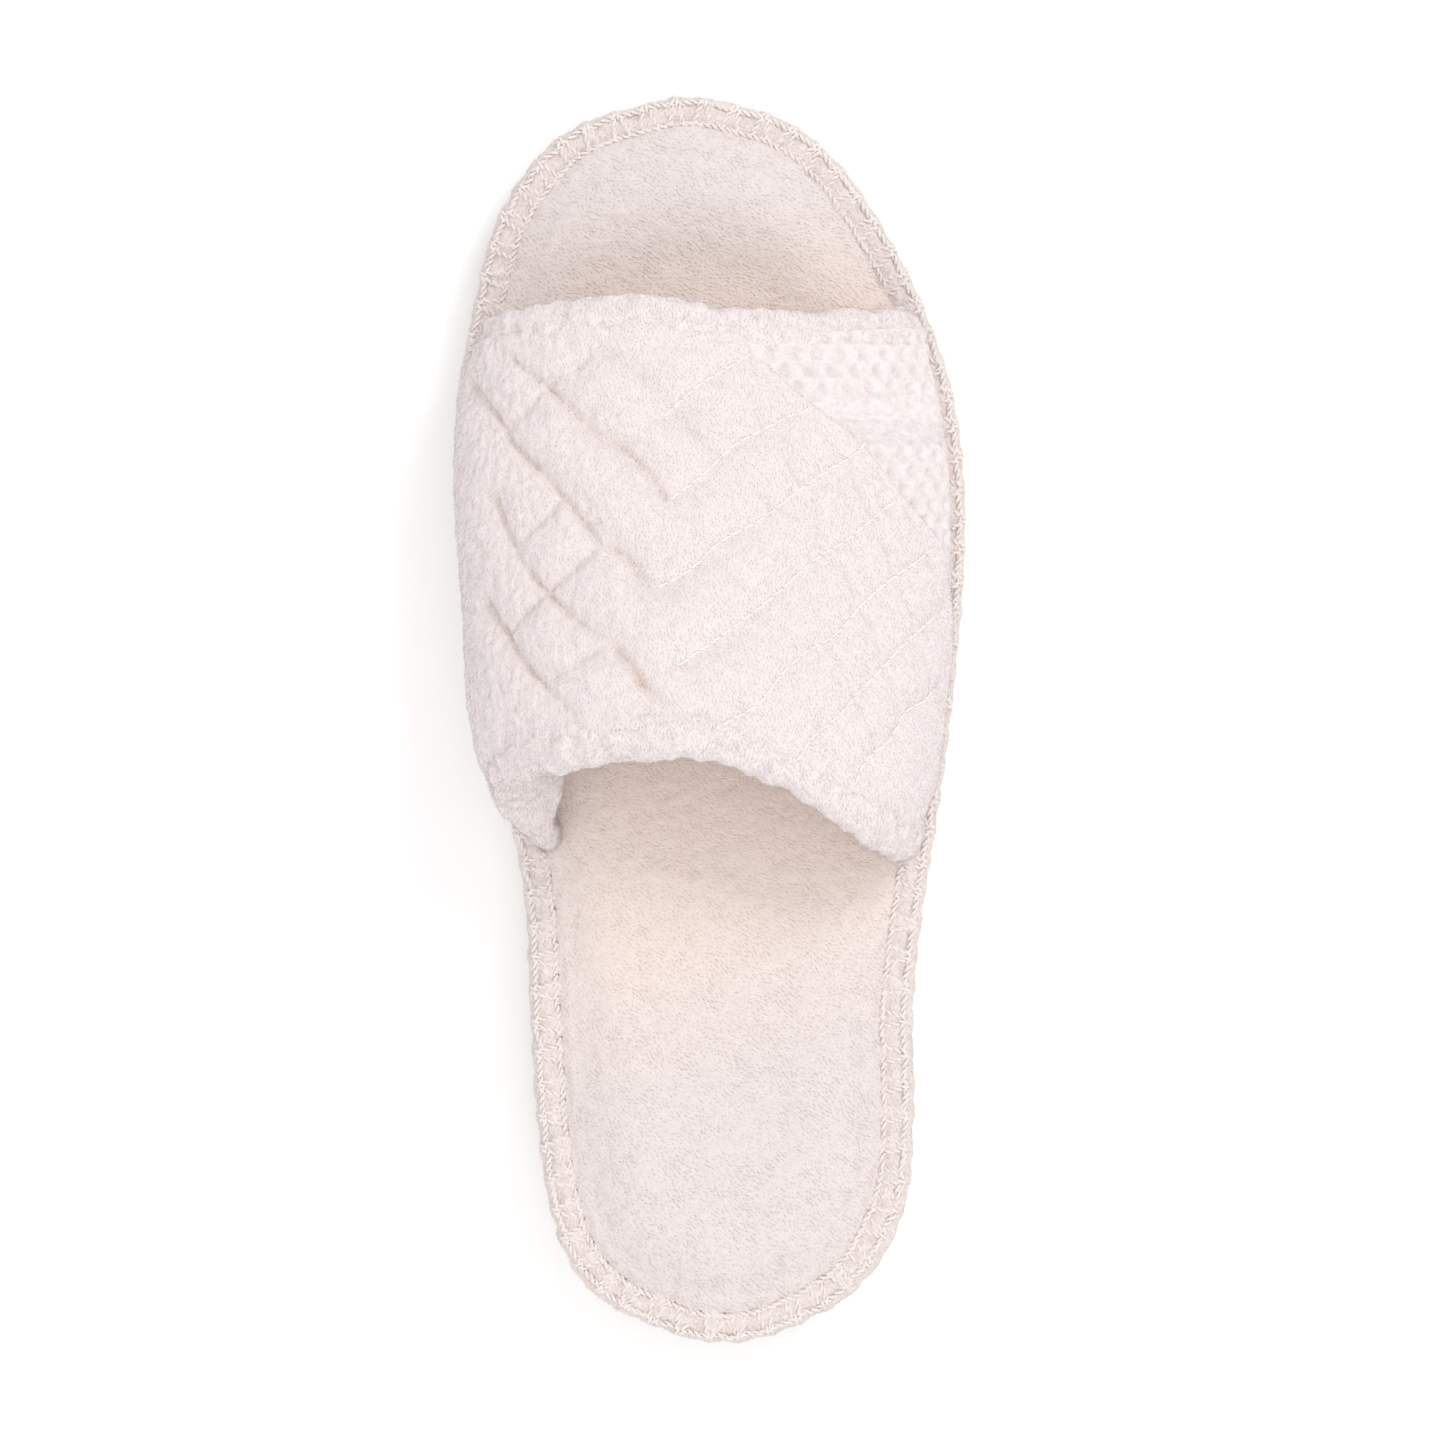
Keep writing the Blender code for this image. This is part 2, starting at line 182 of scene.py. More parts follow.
# %% [markdown]
# One recipe with other sizes gives every cloth of the slipper, because they differ in how
# far the fibres gather, how long and thick they are and how much they shine at the edge.
# Foam and rubber follow it too, with a fine grain in place of fibres.  Real fibres are about
# 0.02 mm thick, which no picture of a whole slipper shows, so they are drawn as coarse as
# they need to show: as bundles of 0.3 to 0.8 mm.
# %% Finishes
# Polyester plush, knitted and cut open: a soft warm white with curls and a pale rim of light.
PLUSH = cloth(
    "plush, polyester, cut pile", "#E9DFDE", "#E3D8D7", clump=2.0, fibre=0.45, length=1.8,
    bump=0.5, sheen=0.25, lie=-60.0, curl=6.0)
# The same plush on the folded hems, a little rougher, and painted lighter to offset the shade that
# the hems' own ruffles and nap cast.
HEM_PLUSH_LIGHTENED = cloth(
    "plush, folded hem, painted lighter", "#EFE5E4", "#E4D9D8", clump=2.0, fibre=0.45, length=1.6,
    bump=0.6, sheen=0.25, lie=-80.0, curl=7.0)
# The footbed's plush is denser and trodden flat: fine even hair that hardly shines.  Its tint is
# painted shade around the upper.
SOCK_PLUSH = cloth(
    "plush, footbed", "#E5DAD8", "#DFD3D1", clump=1.2, fibre=0.35, length=1.8,
    bump=0.6, sheen=0.16, lie=-30.0, curl=4.0, shade_tint=PILE_SHADE_TINT)
# Brushed fleece: cream, with large soft clumps and no hair that can be told apart.
FLEECE = cloth(
    "fleece, brushed lining", "#F3EAE4", "#E8DCD4", clump=2.5, fibre=0.8, length=0.8,
    bump=0.6, sheen=0.15)
# The plush strip of the edge is pulled tight, with a darker, tanner hollow colour: painted shade
# between its hairs.
BINDING = cloth(
    "plush, binding strip", "#EADEDA", "#DCCFCA", clump=1.8, fibre=0.5, length=1.2,
    bump=0.7, sheen=0.20, lie=-60.0, curl=6.0)
# Knitted cotton: matt and even, since it has no pile.
KNIT = cloth(
    "cotton, waffle knitted", "#EEE6E6", "#DFD6D4", clump=1.6, fibre=0.4, length=0.4,
    bump=0.5, sheen=0.05)
# Twisted cotton yarn: paler than the band under it, matt and a little hairy.
YARN = cloth(
    "cotton yarn, two ply", "#F3EAE7", "#E9DEDB", clump=0.9, fibre=0.3, length=0.3,
    bump=0.5, sheen=0.20)
# Sewing thread of spun polyester: smooth and the whitest, so each stitch is a bright dash.
THREAD = cloth(
    "polyester thread, quilting", "#FFFBFA", "#FAF4F2", clump=0.9, fibre=0.3, length=0.3,
    bump=0.2, sheen=0.10)
# EVA foam cut from a sheet: dull, with the fine grain of the cells that the knife opened.
FOAM = cloth(
    "EVA foam, cut from sheet", "#E6DDD6", "#D8CEC6", clump=1.2, fibre=0.4, length=0.4,
    bump=0.4, sheen=0.0)
# Moulded rubber: almost smooth and off-white, with a faint gloss that the cloths lack.
RUBBER = cloth(
    "thermoplastic rubber, moulded", "#EDE7E1", "#E4DDD6", clump=6.0, fibre=0.5, length=0.5,
    bump=0.15, sheen=0.0)
RUBBER_ROUGHNESS = 0.55
RUBBER.node_tree.nodes["Principled BSDF"].inputs["Roughness"].default_value = RUBBER_ROUGHNESS
# A needle hole looks like a brown dot, because little light comes back out of it: this colour is
# painted shade.
HOLE_SHADE = cloth(
    "thread hole, in shade", "#B39A88", "#9C8474", clump=0.8, fibre=0.3, length=0.3,
    bump=0.2, sheen=0.0)
print("materials:", len(bpy.data.materials))

# %% [markdown]
# The slipper's forms follow a few curves: the outline of the sole, the sections of the
# upper, the edge of the toe opening and the seam between the two cloths.  They are the
# ones that the solids were made from, written here again, so that what is sewn on below
# lies on those solids and only its padding and pile stand off them.
# %% Sizes of the slipper
BALL_WIDTH = 110.0 * MM
INSTEP_HEIGHT = 67.0 * MM
OUTSOLE_THICKNESS = 5.5 * MM
HEEL_STACK = 19.0 * MM
FOREFOOT_STACK = 14.5 * MM
TOE_SPRING = 7.0 * MM
HEEL_LIFT = 1.5 * MM
ARCH_RISE = 1.5 * MM
OUTSOLE_ROUND = 2.2 * MM
BAND_INSET = 1.2 * MM
BAND_THICKNESS = 1.2 * MM
BAND_WIDTH = 6.4 * MM
BAND_ROUND = 2.0 * MM
SOCK_CROWN = 6.0 * MM
SOCK_SHOULDER = 16.0 * MM
WALL = 3.0 * MM
PANEL_THICKNESS = 3.0 * MM
WAFFLE_THICKNESS = 2.2 * MM
TOE_HEM_WIDTH = 7.5 * MM
COLLAR_HEM_WIDTH = 8.0 * MM
HEM_PROUD = 0.4 * MM
BELLY = 6.4 * MM
FRONT_WAVE = 4.0 * MM
COLLAR_DROP_MEDIAL = 20.0 * MM
COLLAR_DROP_LATERAL = 22.7 * MM
GAP = 0.3 * MM
HEM_GAP = 0.6 * MM

HEEL_FLAT = (0.06, 0.40)
FOREFOOT_FLAT = (0.62, 0.78)
HEEL_STACK_ENDS = 0.30
FOREFOOT_STACK_STARTS = 0.66
FRONT_CREST = 0.832
COLLAR_CREST = 0.471
BELLY_TURN = 0.75
BELLY_LEVEL = 0.28
MEDIAL_FULLNESS = 2.1
LATERAL_FULLNESS = 1.7
LATERAL_COLLAR_TURN = 0.64
SLOPE_STEP = 0.002

BAND_INNER = BAND_INSET + BAND_WIDTH
FEATHER = BAND_INNER - PANEL_THICKNESS
UPPER_DEPTH = PANEL_THICKNESS + GAP
UPPER_INNER_DEPTH = UPPER_DEPTH + WALL
print("sole", LENGTH / MM, "by", BALL_WIDTH / MM, "mm, instep", INSTEP_HEIGHT / MM, "mm")

# %% [markdown]
# Each table has a row for one place and a named column for each measure.  Widths are shares
# of the ball width and lengths shares of the sole's length, counted from the heel, so the
# form stays right when the slipper is made in another size.
# %% Tables of the outline and the upper
def table(columns, *rows):
    """Rows whose values are read by the names of their columns."""
    row_kind = namedtuple("Row", columns)
    return [row_kind(*row) for row in rows]


OUTLINE = table(
    "along medial lateral",
    (0.012, 0.123, 0.132), (0.035, 0.229, 0.232), (0.070, 0.300, 0.305), (0.120, 0.339, 0.357),
    (0.180, 0.356, 0.372), (0.270, 0.366, 0.375), (0.360, 0.373, 0.406), (0.440, 0.404, 0.443),
    (0.520, 0.445, 0.472), (0.600, 0.475, 0.495), (0.680, 0.494, 0.503), (0.760, 0.486, 0.483),
    (0.840, 0.447, 0.420), (0.900, 0.405, 0.345), (0.950, 0.322, 0.258), (0.980, 0.229, 0.164),
    (0.993, 0.127, 0.073),
)
HEEL_TIP_SIDE = 0.000
TOE_TIP_SIDE = -0.027

VAMP = table(
    "along ridge_up ridge_side medial_belly lateral_belly",
    (0.36, 1.02, -0.040, 1.00, 0.12), (0.50, 0.95, -0.050, 0.85, 0.12),
    (0.60, 0.86, -0.070, 0.40, 0.12), (0.74, 0.76, -0.100, 0.20, 0.12),
    (0.86, 0.68, -0.122, 0.20, 0.12),
)

FRONT_EDGE = table(
    "turn back",
    (-1.00, 1.00), (-0.57, 0.55), (-0.24, 0.25), (0.04, 0.00), (0.19, 0.70), (0.31, 0.80),
    (0.58, 0.50), (1.00, 0.20),
)

PANEL_SEAM = table(
    "turn along",
    (0.20, 0.790), (0.30, 0.745), (0.37, 0.722), (0.47, 0.677), (0.64, 0.632), (1.00, 0.583),
)

HEM_SECTION = table(
    "out down",
    (-0.12, 0.12), (0.06, 0.03), (0.28, 0.00), (0.66, 0.06), (0.91, 0.24), (1.00, 0.50),
    (0.91, 0.76), (0.66, 0.94), (0.28, 1.00), (0.00, 0.96), (-0.10, 0.50),
)
print("stations of the outline:", len(OUTLINE), "and sections of the upper:", len(VAMP))


# %% [markdown]
# A curve through a few measured values needs no spline object: a cubic between each two
# of them, with the slopes taken from their neighbours, is quick to work out for
# thousands of points at once.
# %% Curves through measured values
def ramp(value, start, end):
    """0 before start, 1 after end, straight between them."""
    return np.clip((value - start) / (end - start), 0.0, 1.0)


def ease(share):
    """The same share with soft ends."""
    return share * share * (3.0 - 2.0 * share)


def bell(distance, width):
    """1 at no distance, and nearly 0 at twice the width."""
    return np.exp(-((distance / width) ** 2))


def through(knots, values, at):
    """A smooth curve through the given values."""
    knots = np.asarray(knots, float)
    values = np.asarray(values, float)
    slopes = np.gradient(values, knots)
    at = np.clip(at, knots[0], knots[-1])
    low = np.clip(np.searchsorted(knots, at) - 1, 0, len(knots) - 2)
    span = knots[low + 1] - knots[low]
    t = (at - knots[low]) / span
    rise = values[low + 1] - values[low]
    start = slopes[low] * span
    end = slopes[low + 1] * span
    bend = (3.0 * rise - 2.0 * start - end) * t**2
    return values[low] + start * t + bend + (start + end - 2.0 * rise) * t**3


def run_along(points):
    """How far each point of a line lies from its first, measured along it."""
    return np.concatenate([[0.0], np.cumsum(np.linalg.norm(np.diff(points, axis=0), axis=1))])


def column(table, name):
    return [getattr(row, name) for row in table]


def share_of_length(y):
    return y / LENGTH + 0.5


def length_at(share):
    return (share - 0.5) * LENGTH


print("the ball lies", round(length_at(0.68) / MM, 1), "mm ahead of the middle")


# %% [markdown]
# The sole is a stack: outsole, foam, and a padded sock that swells from its seam.  Heights
# follow the length alone, and each loop round the sole is the outline moved inwards.
# %% The sole's heights and loops
def ground_lift(y):
    """Height of the underside over the floor."""
    share = share_of_length(y)
    toe = TOE_SPRING * ramp(share, FOREFOOT_FLAT[1], 1.0) ** 2
    heel = HEEL_LIFT * ramp(share, HEEL_FLAT[0], 0.0) ** 2
    arch = ARCH_RISE * np.sin(np.pi * ramp(share, HEEL_FLAT[1], FOREFOOT_FLAT[0])) ** 2
    return toe + heel + arch


def outsole_top(y):
    return ground_lift(y) + OUTSOLE_THICKNESS


def band_top(y):
    """Height of the top of the edge band, which is thicker under the heel."""
    heel_share = ease(ramp(share_of_length(y), FOREFOOT_STACK_STARTS, HEEL_STACK_ENDS))
    stack = FOREFOOT_STACK + (HEEL_STACK - FOREFOOT_STACK) * heel_share
    return ground_lift(y) + stack


def sock_top(y, inset):
    """Height of the sock, which swells from its seam along the band."""
    share = ramp(inset, BAND_INNER, BAND_INNER + SOCK_SHOULDER)
    return band_top(y) + SOCK_CROWN * (1.0 - (1.0 - share) ** 2)


def outline_ring(count):
    """The sole's outline, from the heel up the inner side and back down the outer one."""
    angles = [np.arccos(1.0 - 2.0 * row.along) for row in OUTLINE]
    inner = [-row.medial for row in OUTLINE]
    outer = [row.lateral for row in OUTLINE]
    turn = 2.0 * np.pi
    knots = [0.0, *angles, np.pi, *(turn - a for a in reversed(angles))]
    sides = [HEEL_TIP_SIDE, *inner, TOE_TIP_SIDE, *reversed(outer)]
    knots = np.concatenate([np.subtract(knots, turn), knots, np.add(knots, turn)])
    step = turn / count
    at = (np.arange(count) + 0.5) * step
    x = through(knots, sides * 3, at) * BALL_WIDTH
    y = -0.5 * LENGTH * np.cos(at) / np.cos(0.5 * step)
    x -= 0.5 * (x.min() + x.max())
    return np.column_stack([x, y])


def inwards_of(ring):
    """The way inwards at each point of a ring, one metre long."""
    along = np.roll(ring, -1, axis=0) - np.roll(ring, 1, axis=0)
    along /= np.linalg.norm(along, axis=1)[:, None]
    return np.column_stack([along[:, 1], -along[:, 0]])


def inset_ring(ring, inset):
    """The ring moved inwards by the given distance."""
    return ring + inwards_of(ring) * inset


def even_ring(count):
    """The outline again, with its points the same distance apart."""
    ring = outline_ring(4 * count)
    closed = np.vstack([ring, ring[:1]])
    run = run_along(closed)
    at = np.linspace(0.0, run[-1], count, endpoint=False)
    even = [np.interp(at, run, closed[:, axis]) for axis in (0, 1)]
    return np.column_stack(even), run[-1]


EDGE_POINTS = 1440
FEATHER_POINTS = 432
EDGE, EDGE_LENGTH = even_ring(EDGE_POINTS)
FEATHER_LINE = inset_ring(outline_ring(FEATHER_POINTS), FEATHER)
FEATHER_HALF = len(FEATHER_LINE) // 2
print("edge of the sole:", round(EDGE_LENGTH / MM), "mm round")


# %% [markdown]
# The upper is one arched surface.  A place on it is given by how far round the foot it
# lies, from -1 at the inner side over 0 on the ridge to 1 at the outer side, by how far
# along the shoe, and by how deep in the wall.
# %% The upper's surface
def feather_sides(y):
    """The inner and outer edge of the upper's foot at this place along the shoe."""
    inner = FEATHER_LINE[:FEATHER_HALF]
    outer = FEATHER_LINE[FEATHER_HALF:][::-1]
    return np.interp(y, inner[:, 1], inner[:, 0]), np.interp(y, outer[:, 1], outer[:, 0])


def vamp_surface(turn, y):
    """The outer face of the upper."""
    share = share_of_length(y)
    along = column(VAMP, "along")
    inner, outer = feather_sides(y)
    foot = band_top(y)
    ridge_x = through(along, column(VAMP, "ridge_side"), share) * BALL_WIDTH
    ridge_up = through(along, column(VAMP, "ridge_up"), share)
    ridge_z = ground_lift(y) + ridge_up * INSTEP_HEIGHT
    lateral = turn > 0.0
    bellies = np.where(
        lateral,
        through(along, column(VAMP, "lateral_belly"), share),
        through(along, column(VAMP, "medial_belly"), share),
    )
    belly = bellies * BELLY
    reach = np.where(lateral, outer - ridge_x, ridge_x - inner) + belly
    power = 2.0 / np.where(lateral, LATERAL_FULLNESS, MEDIAL_FULLNESS)
    round_to = 0.5 * np.pi * ramp(np.abs(turn), 0.0, BELLY_TURN)
    tuck = ramp(np.abs(turn), BELLY_TURN, 1.0)
    belly_z = foot + BELLY_LEVEL * (ridge_z - foot)
    out = reach * np.sin(round_to) ** power - belly * tuck**2
    up = belly_z + (ridge_z - belly_z) * np.maximum(np.cos(round_to), 0.0) ** power
    z = np.where(tuck > 0.0, belly_z + (foot - belly_z) * tuck, up)
    x = ridge_x + np.where(lateral, out, -out)
    return np.stack([x, y + 0.0 * x, z], axis=-1)


def vamp_normal(turn, y):
    low = vamp_surface(np.maximum(turn - SLOPE_STEP, -1.0), y)
    high = vamp_surface(np.minimum(turn + SLOPE_STEP, 1.0), y)
    step = SLOPE_STEP * LENGTH
    ahead = vamp_surface(turn, y + step) - vamp_surface(turn, y - step)
    normal = np.cross(high - low, ahead)
    return normal / np.linalg.norm(normal, axis=-1)[..., None]


def vamp_point(turn, y, depth=0.0):
    """A point in the wall of the upper, at a depth below its outer face."""
    turn, y, depth = np.broadcast_arrays(turn, y, depth)
    point = vamp_surface(turn, y) - vamp_normal(turn, y) * depth[..., None]
    seat = sock_top(point[..., 1], FEATHER + depth) + GAP
    at_foot = np.isclose(np.abs(turn), 1.0)
    point[..., 2] = np.where(at_foot, seat, point[..., 2])
    return point


ridge = vamp_surface(np.array([0.0]), np.array([length_at(COLLAR_CREST)]))[0]
print("ridge at the collar:", round(ridge[2] / MM, 1), "mm over the floor")


# %% [markdown]
# The upper ends in three lines: the rim of the toe opening, the slanted rim of the collar,
# and the seam where the quilted cloth laps the waffle-knit corner.  Between the rims and
# the cloths lie the rolled hems.
# %% Rims and seam
def front_rim(turn):
    """Where the toe opening's edge lies along the shoe."""
    back = through(column(FRONT_EDGE, "turn"), column(FRONT_EDGE, "back"), turn)
    return length_at(FRONT_CREST) - FRONT_WAVE * back


def collar_rim(turn):
    """Where the collar's edge lies: it runs back towards the heel on its way down."""
    outer = ease(ramp(turn, 0.0, LATERAL_COLLAR_TURN)) * COLLAR_DROP_LATERAL
    inner = turn**2 * COLLAR_DROP_MEDIAL
    return length_at(COLLAR_CREST) - np.where(turn > 0.0, outer, inner)


def shell_front(turn):
    return front_rim(turn) - TOE_HEM_WIDTH - HEM_GAP


def shell_back(turn):
    return collar_rim(turn) + COLLAR_HEM_WIDTH + HEM_GAP


def seam_line(turn):
    """The seam between the quilted panel and the waffle-knit corner."""
    turns = column(PANEL_SEAM, "turn")
    return length_at(through(turns, column(PANEL_SEAM, "along"), turn))


def quilt_front(turn):
    front = shell_front(turn)
    return np.where(turn < PANEL_SEAM[0].turn, front, np.minimum(front, seam_line(turn)))


crest = np.array([0.0])
print("upper at its crest:", round((front_rim(crest) - collar_rim(crest))[0] / MM), "mm long")


# %% [markdown]
# A cloth piece starts as a sheet of points in rows.  These helpers turn such sheets into
# closed meshes.  The hidden side of a pad is made with fewer points than the side that is
# seen, because nobody sees its form.
# %% Helpers for meshes
def numbered(rows, columns, first=0):
    """A grid of point numbers, counted row by row."""
    return first + np.arange(rows * columns).reshape(rows, columns)


def quads(index, around=False, across=False):
    """Faces between the rows and columns of an index grid, closed on itself or not."""
    if around:
        index = np.vstack([index, index[:1]])
    if across:
        index = np.hstack([index, index[:, :1]])
    corners = [index[:-1, :-1], index[:-1, 1:], index[1:, 1:], index[1:, :-1]]
    return np.stack(corners, axis=-1).reshape(-1, 4).tolist()


def ladder(loop):
    """Faces like the rungs of a ladder, which close a loop of points."""
    half = len(loop) // 2
    return quads(np.stack([loop[:half], loop[half:][::-1]]))


def every(step):
    """Picks the rows and columns of a sheet that lie this many apart."""
    return (slice(None, None, step), slice(None, None, step))


def made_piece(name, points, faces, finish, merge=0.0):
    """A smooth mesh in one finish.  Points that are closer than merge become one."""
    mesh = bpy.data.meshes.new(name)
    mesh.from_pydata(np.reshape(points, (-1, 3)).tolist(), [], faces)
    shape = bmesh.new()
    shape.from_mesh(mesh)
    if merge > 0.0:
        bmesh.ops.remove_doubles(shape, verts=shape.verts, dist=merge)
    bmesh.ops.recalc_face_normals(shape, faces=shape.faces)
    shape.to_mesh(mesh)
    shape.free()
    mesh.materials.append(finish)
    mesh.shade_smooth()
    return placed(name, mesh)


def pad(name, top, under, finish):
    """A closed pad from a fine sheet on top and a coarser one below."""
    over = numbered(*top.shape[:2])
    below = numbered(*under.shape[:2], first=over.size)
    faces = quads(over) + quads(below)
    step = (over.shape[0] - 1) // (below.shape[0] - 1)
    side_step = (over.shape[1] - 1) // (below.shape[1] - 1)
    for fine, coarse, run in (
        (over[0], below[0], side_step),
        (over[-1], below[-1], side_step),
        (over[:, 0], below[:, 0], step),
        (over[:, -1], below[:, -1], step),
    ):
        for k in range(len(coarse) - 1):
            part = fine[k * run : (k + 1) * run + 1]
            faces.append([*part.tolist(), int(coarse[k + 1]), int(coarse[k])])
    points = np.vstack([top.reshape(-1, 3), under.reshape(-1, 3)])
    return made_piece(name, points, faces, finish)


print("faces between 3 rows of 4 points:", len(quads(numbered(3, 4))))


# %% [markdown]
# Cloth is never as smooth as the form under it.  These helpers push a mesh's points out or
# in along their normals, by slow noise or by amounts worked out elsewhere.  The last one
# attaches a piece to the body that it rides on and hides the solids that it stands for.
# %% Helpers for points
RUFFLE_SEED = 17.3


def points_of(piece):
    flat = np.empty(3 * len(piece.data.vertices))
    piece.data.vertices.foreach_get("co", flat)
    return flat.reshape(-1, 3)


def normals_of(piece):
    flat = np.empty(3 * len(piece.data.vertices))
    piece.data.vertex_normals.foreach_get("vector", flat)
    return flat.reshape(-1, 3)


def push(piece, amount):
    """Moves each point along its normal by its own amount."""
    moved = points_of(piece) + normals_of(piece) * np.reshape(amount, (-1, 1))
    piece.data.vertices.foreach_set("co", moved.ravel())
    piece.data.update()


def clumps(points, size, seed):
    """Smooth noise between about -1 and 1 that changes over the given size."""
    places = points.reshape(-1, 3) / size + seed
    return np.array([noise.noise(place) for place in places.tolist()])


def ruffle(piece, *layers):
    """Raises the nap in layers of (size, height)."""
    points = points_of(piece)
    total = np.zeros(len(points))
    for seed, (size, height) in enumerate(layers, start=3):
        total += height * clumps(points, size, RUFFLE_SEED * seed)
    push(piece, total)


def search_tree(points):
    """A tree that finds the nearest of the given points."""
    tree = kdtree.KDTree(len(points))
    for number, place in enumerate(points.tolist()):
        tree.insert(place, number)
    tree.balance()
    return tree


def paint_shade(piece, amounts):
    """Writes how much painted shade each point gets, from 0 to 1."""
    layer = piece.data.attributes.new("painted_shade", "FLOAT", "POINT")
    layer.data.foreach_set("value", np.ravel(amounts).astype(np.float32))


def declare(piece, slot, *nodes):
    """Attaches the piece to the root body and hides the solids that it stands for.  The slot is
    not used.
    """
    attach(piece, "root")
    if nodes:
        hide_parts(*nodes)
    piece.data.calc_loop_triangles()
    print(piece.name, len(piece.data.loop_triangles), "triangles")


# %% [markdown]
# Fibres, yarn and thread come in numbers that no one could place by hand.  Geometry Nodes
# make them from a few named sizes.  Both trees below open and close in the same way, so
# that is done by helpers, and so is the arithmetic between the nodes.
# %% Helpers for Geometry Nodes
def new_tree(name, inputs):
    """A geometry tree with named inputs, and the sockets that they arrive on."""
    tree = bpy.data.node_groups.new(name, "GeometryNodeTree")
    tree.interface.new_socket("Geometry", in_out="OUTPUT", socket_type="NodeSocketGeometry")
    for label, kind in inputs.items():
        tree.interface.new_socket(label, in_out="INPUT", socket_type="NodeSocket" + kind)
    arriving = add(tree, "NodeGroupInput")
    return tree, {socket.name: socket for socket in arriving}


def close_tree(tree, geometry, finish):
    """Ends a tree with real geometry in one finish."""
    real = add(tree, "GeometryNodeRealizeInstances", {"Geometry": geometry})[0]
    smooth = add(tree, "GeometryNodeSetShadeSmooth", {"Geometry": real})[0]
    dressed = add(tree, "GeometryNodeSetMaterial", {"Geometry": smooth, "Material": finish})[0]
    add(tree, "NodeGroupOutput", {"Geometry": dressed})


def vector_math(tree, operation, *feeds):
    return add(tree, "ShaderNodeVectorMath", dict(enumerate(feeds)), operation=operation)[0]


def scaled(tree, vector, factor):
    feeds = {0: vector, "Scale": factor}
    return add(tree, "ShaderNodeVectorMath", feeds, operation="SCALE")[0]


def math_node(tree, operation, first, second):
    return add(tree, "ShaderNodeMath", {0: first, 1: second}, operation=operation)[0]


# %% [markdown]
# Nap is thousands of small locks of fibre, all leaning about the same way but gathered
# here and there by wear and washing.  The tree scatters points over the cloth and sets a
# grain on each, turned to lie along a direction that a slow noise bends.  A grain has only
# six faces, because there are tens of thousands.
# %% Geometry Nodes: nap
MOST_LOCKS = 4.0e6
STRAY = 0.3
SMALLEST = 0.7
LARGEST = 1.3


def nap_tree():
    """Scatters grains over a cloth.  Lie is the way they point and Swirl how much it wanders."""
    tree, given = new_tree("nap", {
        "Cloth": "Geometry", "Spacing": "Float", "Grain": "Vector", "Lie": "Vector",
        "Lift": "Float", "Swirl": "Float", "Swirl size": "Float", "Seed": "Int",
        "Finish": "Material"})
    points, normal = add(tree, "GeometryNodeDistributePointsOnFaces", {
        "Mesh": given["Cloth"], "Distance Min": given["Spacing"], "Density Max": MOST_LOCKS,
        "Seed": given["Seed"]}, distribute_method="POISSON")[:2]
    per_metre = math_node(tree, "DIVIDE", 1.0, given["Swirl size"])
    here = add(tree, "GeometryNodeInputPosition")[0]
    slow = add(tree, "ShaderNodeTexNoise", {"Vector": here, "Scale": per_metre})[1]
    centred = vector_math(tree, "SUBTRACT", slow, (0.5, 0.5, 0.5))
    loose = add(tree, "FunctionNodeRandomValue", {
        0: (-0.5, -0.5, -0.5), 1: (0.5, 0.5, 0.5), "Seed": given["Seed"]},
        data_type="FLOAT_VECTOR")[0]
    stray = vector_math(tree, "ADD", centred, vector_math(
        tree, "MULTIPLY", loose, (STRAY,) * 3))
    heading = vector_math(tree, "ADD", given["Lie"], scaled(tree, stray, given["Swirl"]))
    flat = vector_math(tree, "NORMALIZE", vector_math(
        tree, "CROSS_PRODUCT", vector_math(tree, "CROSS_PRODUCT", normal, heading), normal))
    facing = vector_math(tree, "ADD", flat, scaled(tree, normal, given["Lift"]))
    turned = add(tree, "FunctionNodeAlignRotationToVector", {"Vector": facing}, axis="Z")[0]
    size = add(tree, "FunctionNodeRandomValue", {
        0: SMALLEST, 1: LARGEST, "Seed": given["Seed"]}, data_type="FLOAT")[0]
    ball = add(tree, "GeometryNodeMeshUVSphere", {"Segments": 3, "Rings": 2, "Radius": 0.5})[0]
    grain = add(tree, "GeometryNodeTransform", {"Geometry": ball, "Scale": given["Grain"]})[0]
    locks = add(tree, "GeometryNodeInstanceOnPoints", {
        "Points": points, "Instance": grain, "Rotation": turned, "Scale": size})[0]
    close_tree(tree, locks, given["Finish"])
    return tree


def grown(tree, name, source, **sizes):
    """Runs a tree on a mesh object and keeps what it makes as a plain mesh object."""
    modifier = source.modifiers.new(name, "NODES")
    modifier.node_group = tree
    for socket in tree.interface.items_tree:
        label = socket.name.replace(" ", "_").lower()
        if socket.in_out == "INPUT" and label in sizes:
            modifier[socket.identifier] = sizes[label]
    graph = bpy.context.evaluated_depsgraph_get()
    mesh = bpy.data.meshes.new_from_object(source.evaluated_get(graph))
    mesh.name = name
    source.modifiers.remove(modifier)
    return placed(name, mesh)


NAP = nap_tree()
SWIRL_SIZE = 5.0 * MM
FLATNESS = 0.8
print("nap tree:", len(NAP.nodes), "nodes")

# %% [markdown]
# Locks grow on a bed, which is an open copy of the cloth's seen side.  The bed is thrown
# away afterwards, and the locks stay as one mesh that stands for the pile.
# %% Beds and naps
def sheet_bed(name, points, painted_shade=None):
    """An open sheet that locks grow on, thrown away afterwards."""
    mesh = bpy.data.meshes.new(name)
    mesh.from_pydata(points.reshape(-1, 3).tolist(), [], quads(numbered(*points.shape[:2])))
    bed = placed(name, mesh)
    if sum(face.normal.z for face in mesh.polygons) < 0.0:
        mesh.flip_normals()
    if painted_shade is not None:
        paint_shade(bed, painted_shade)
    return bed


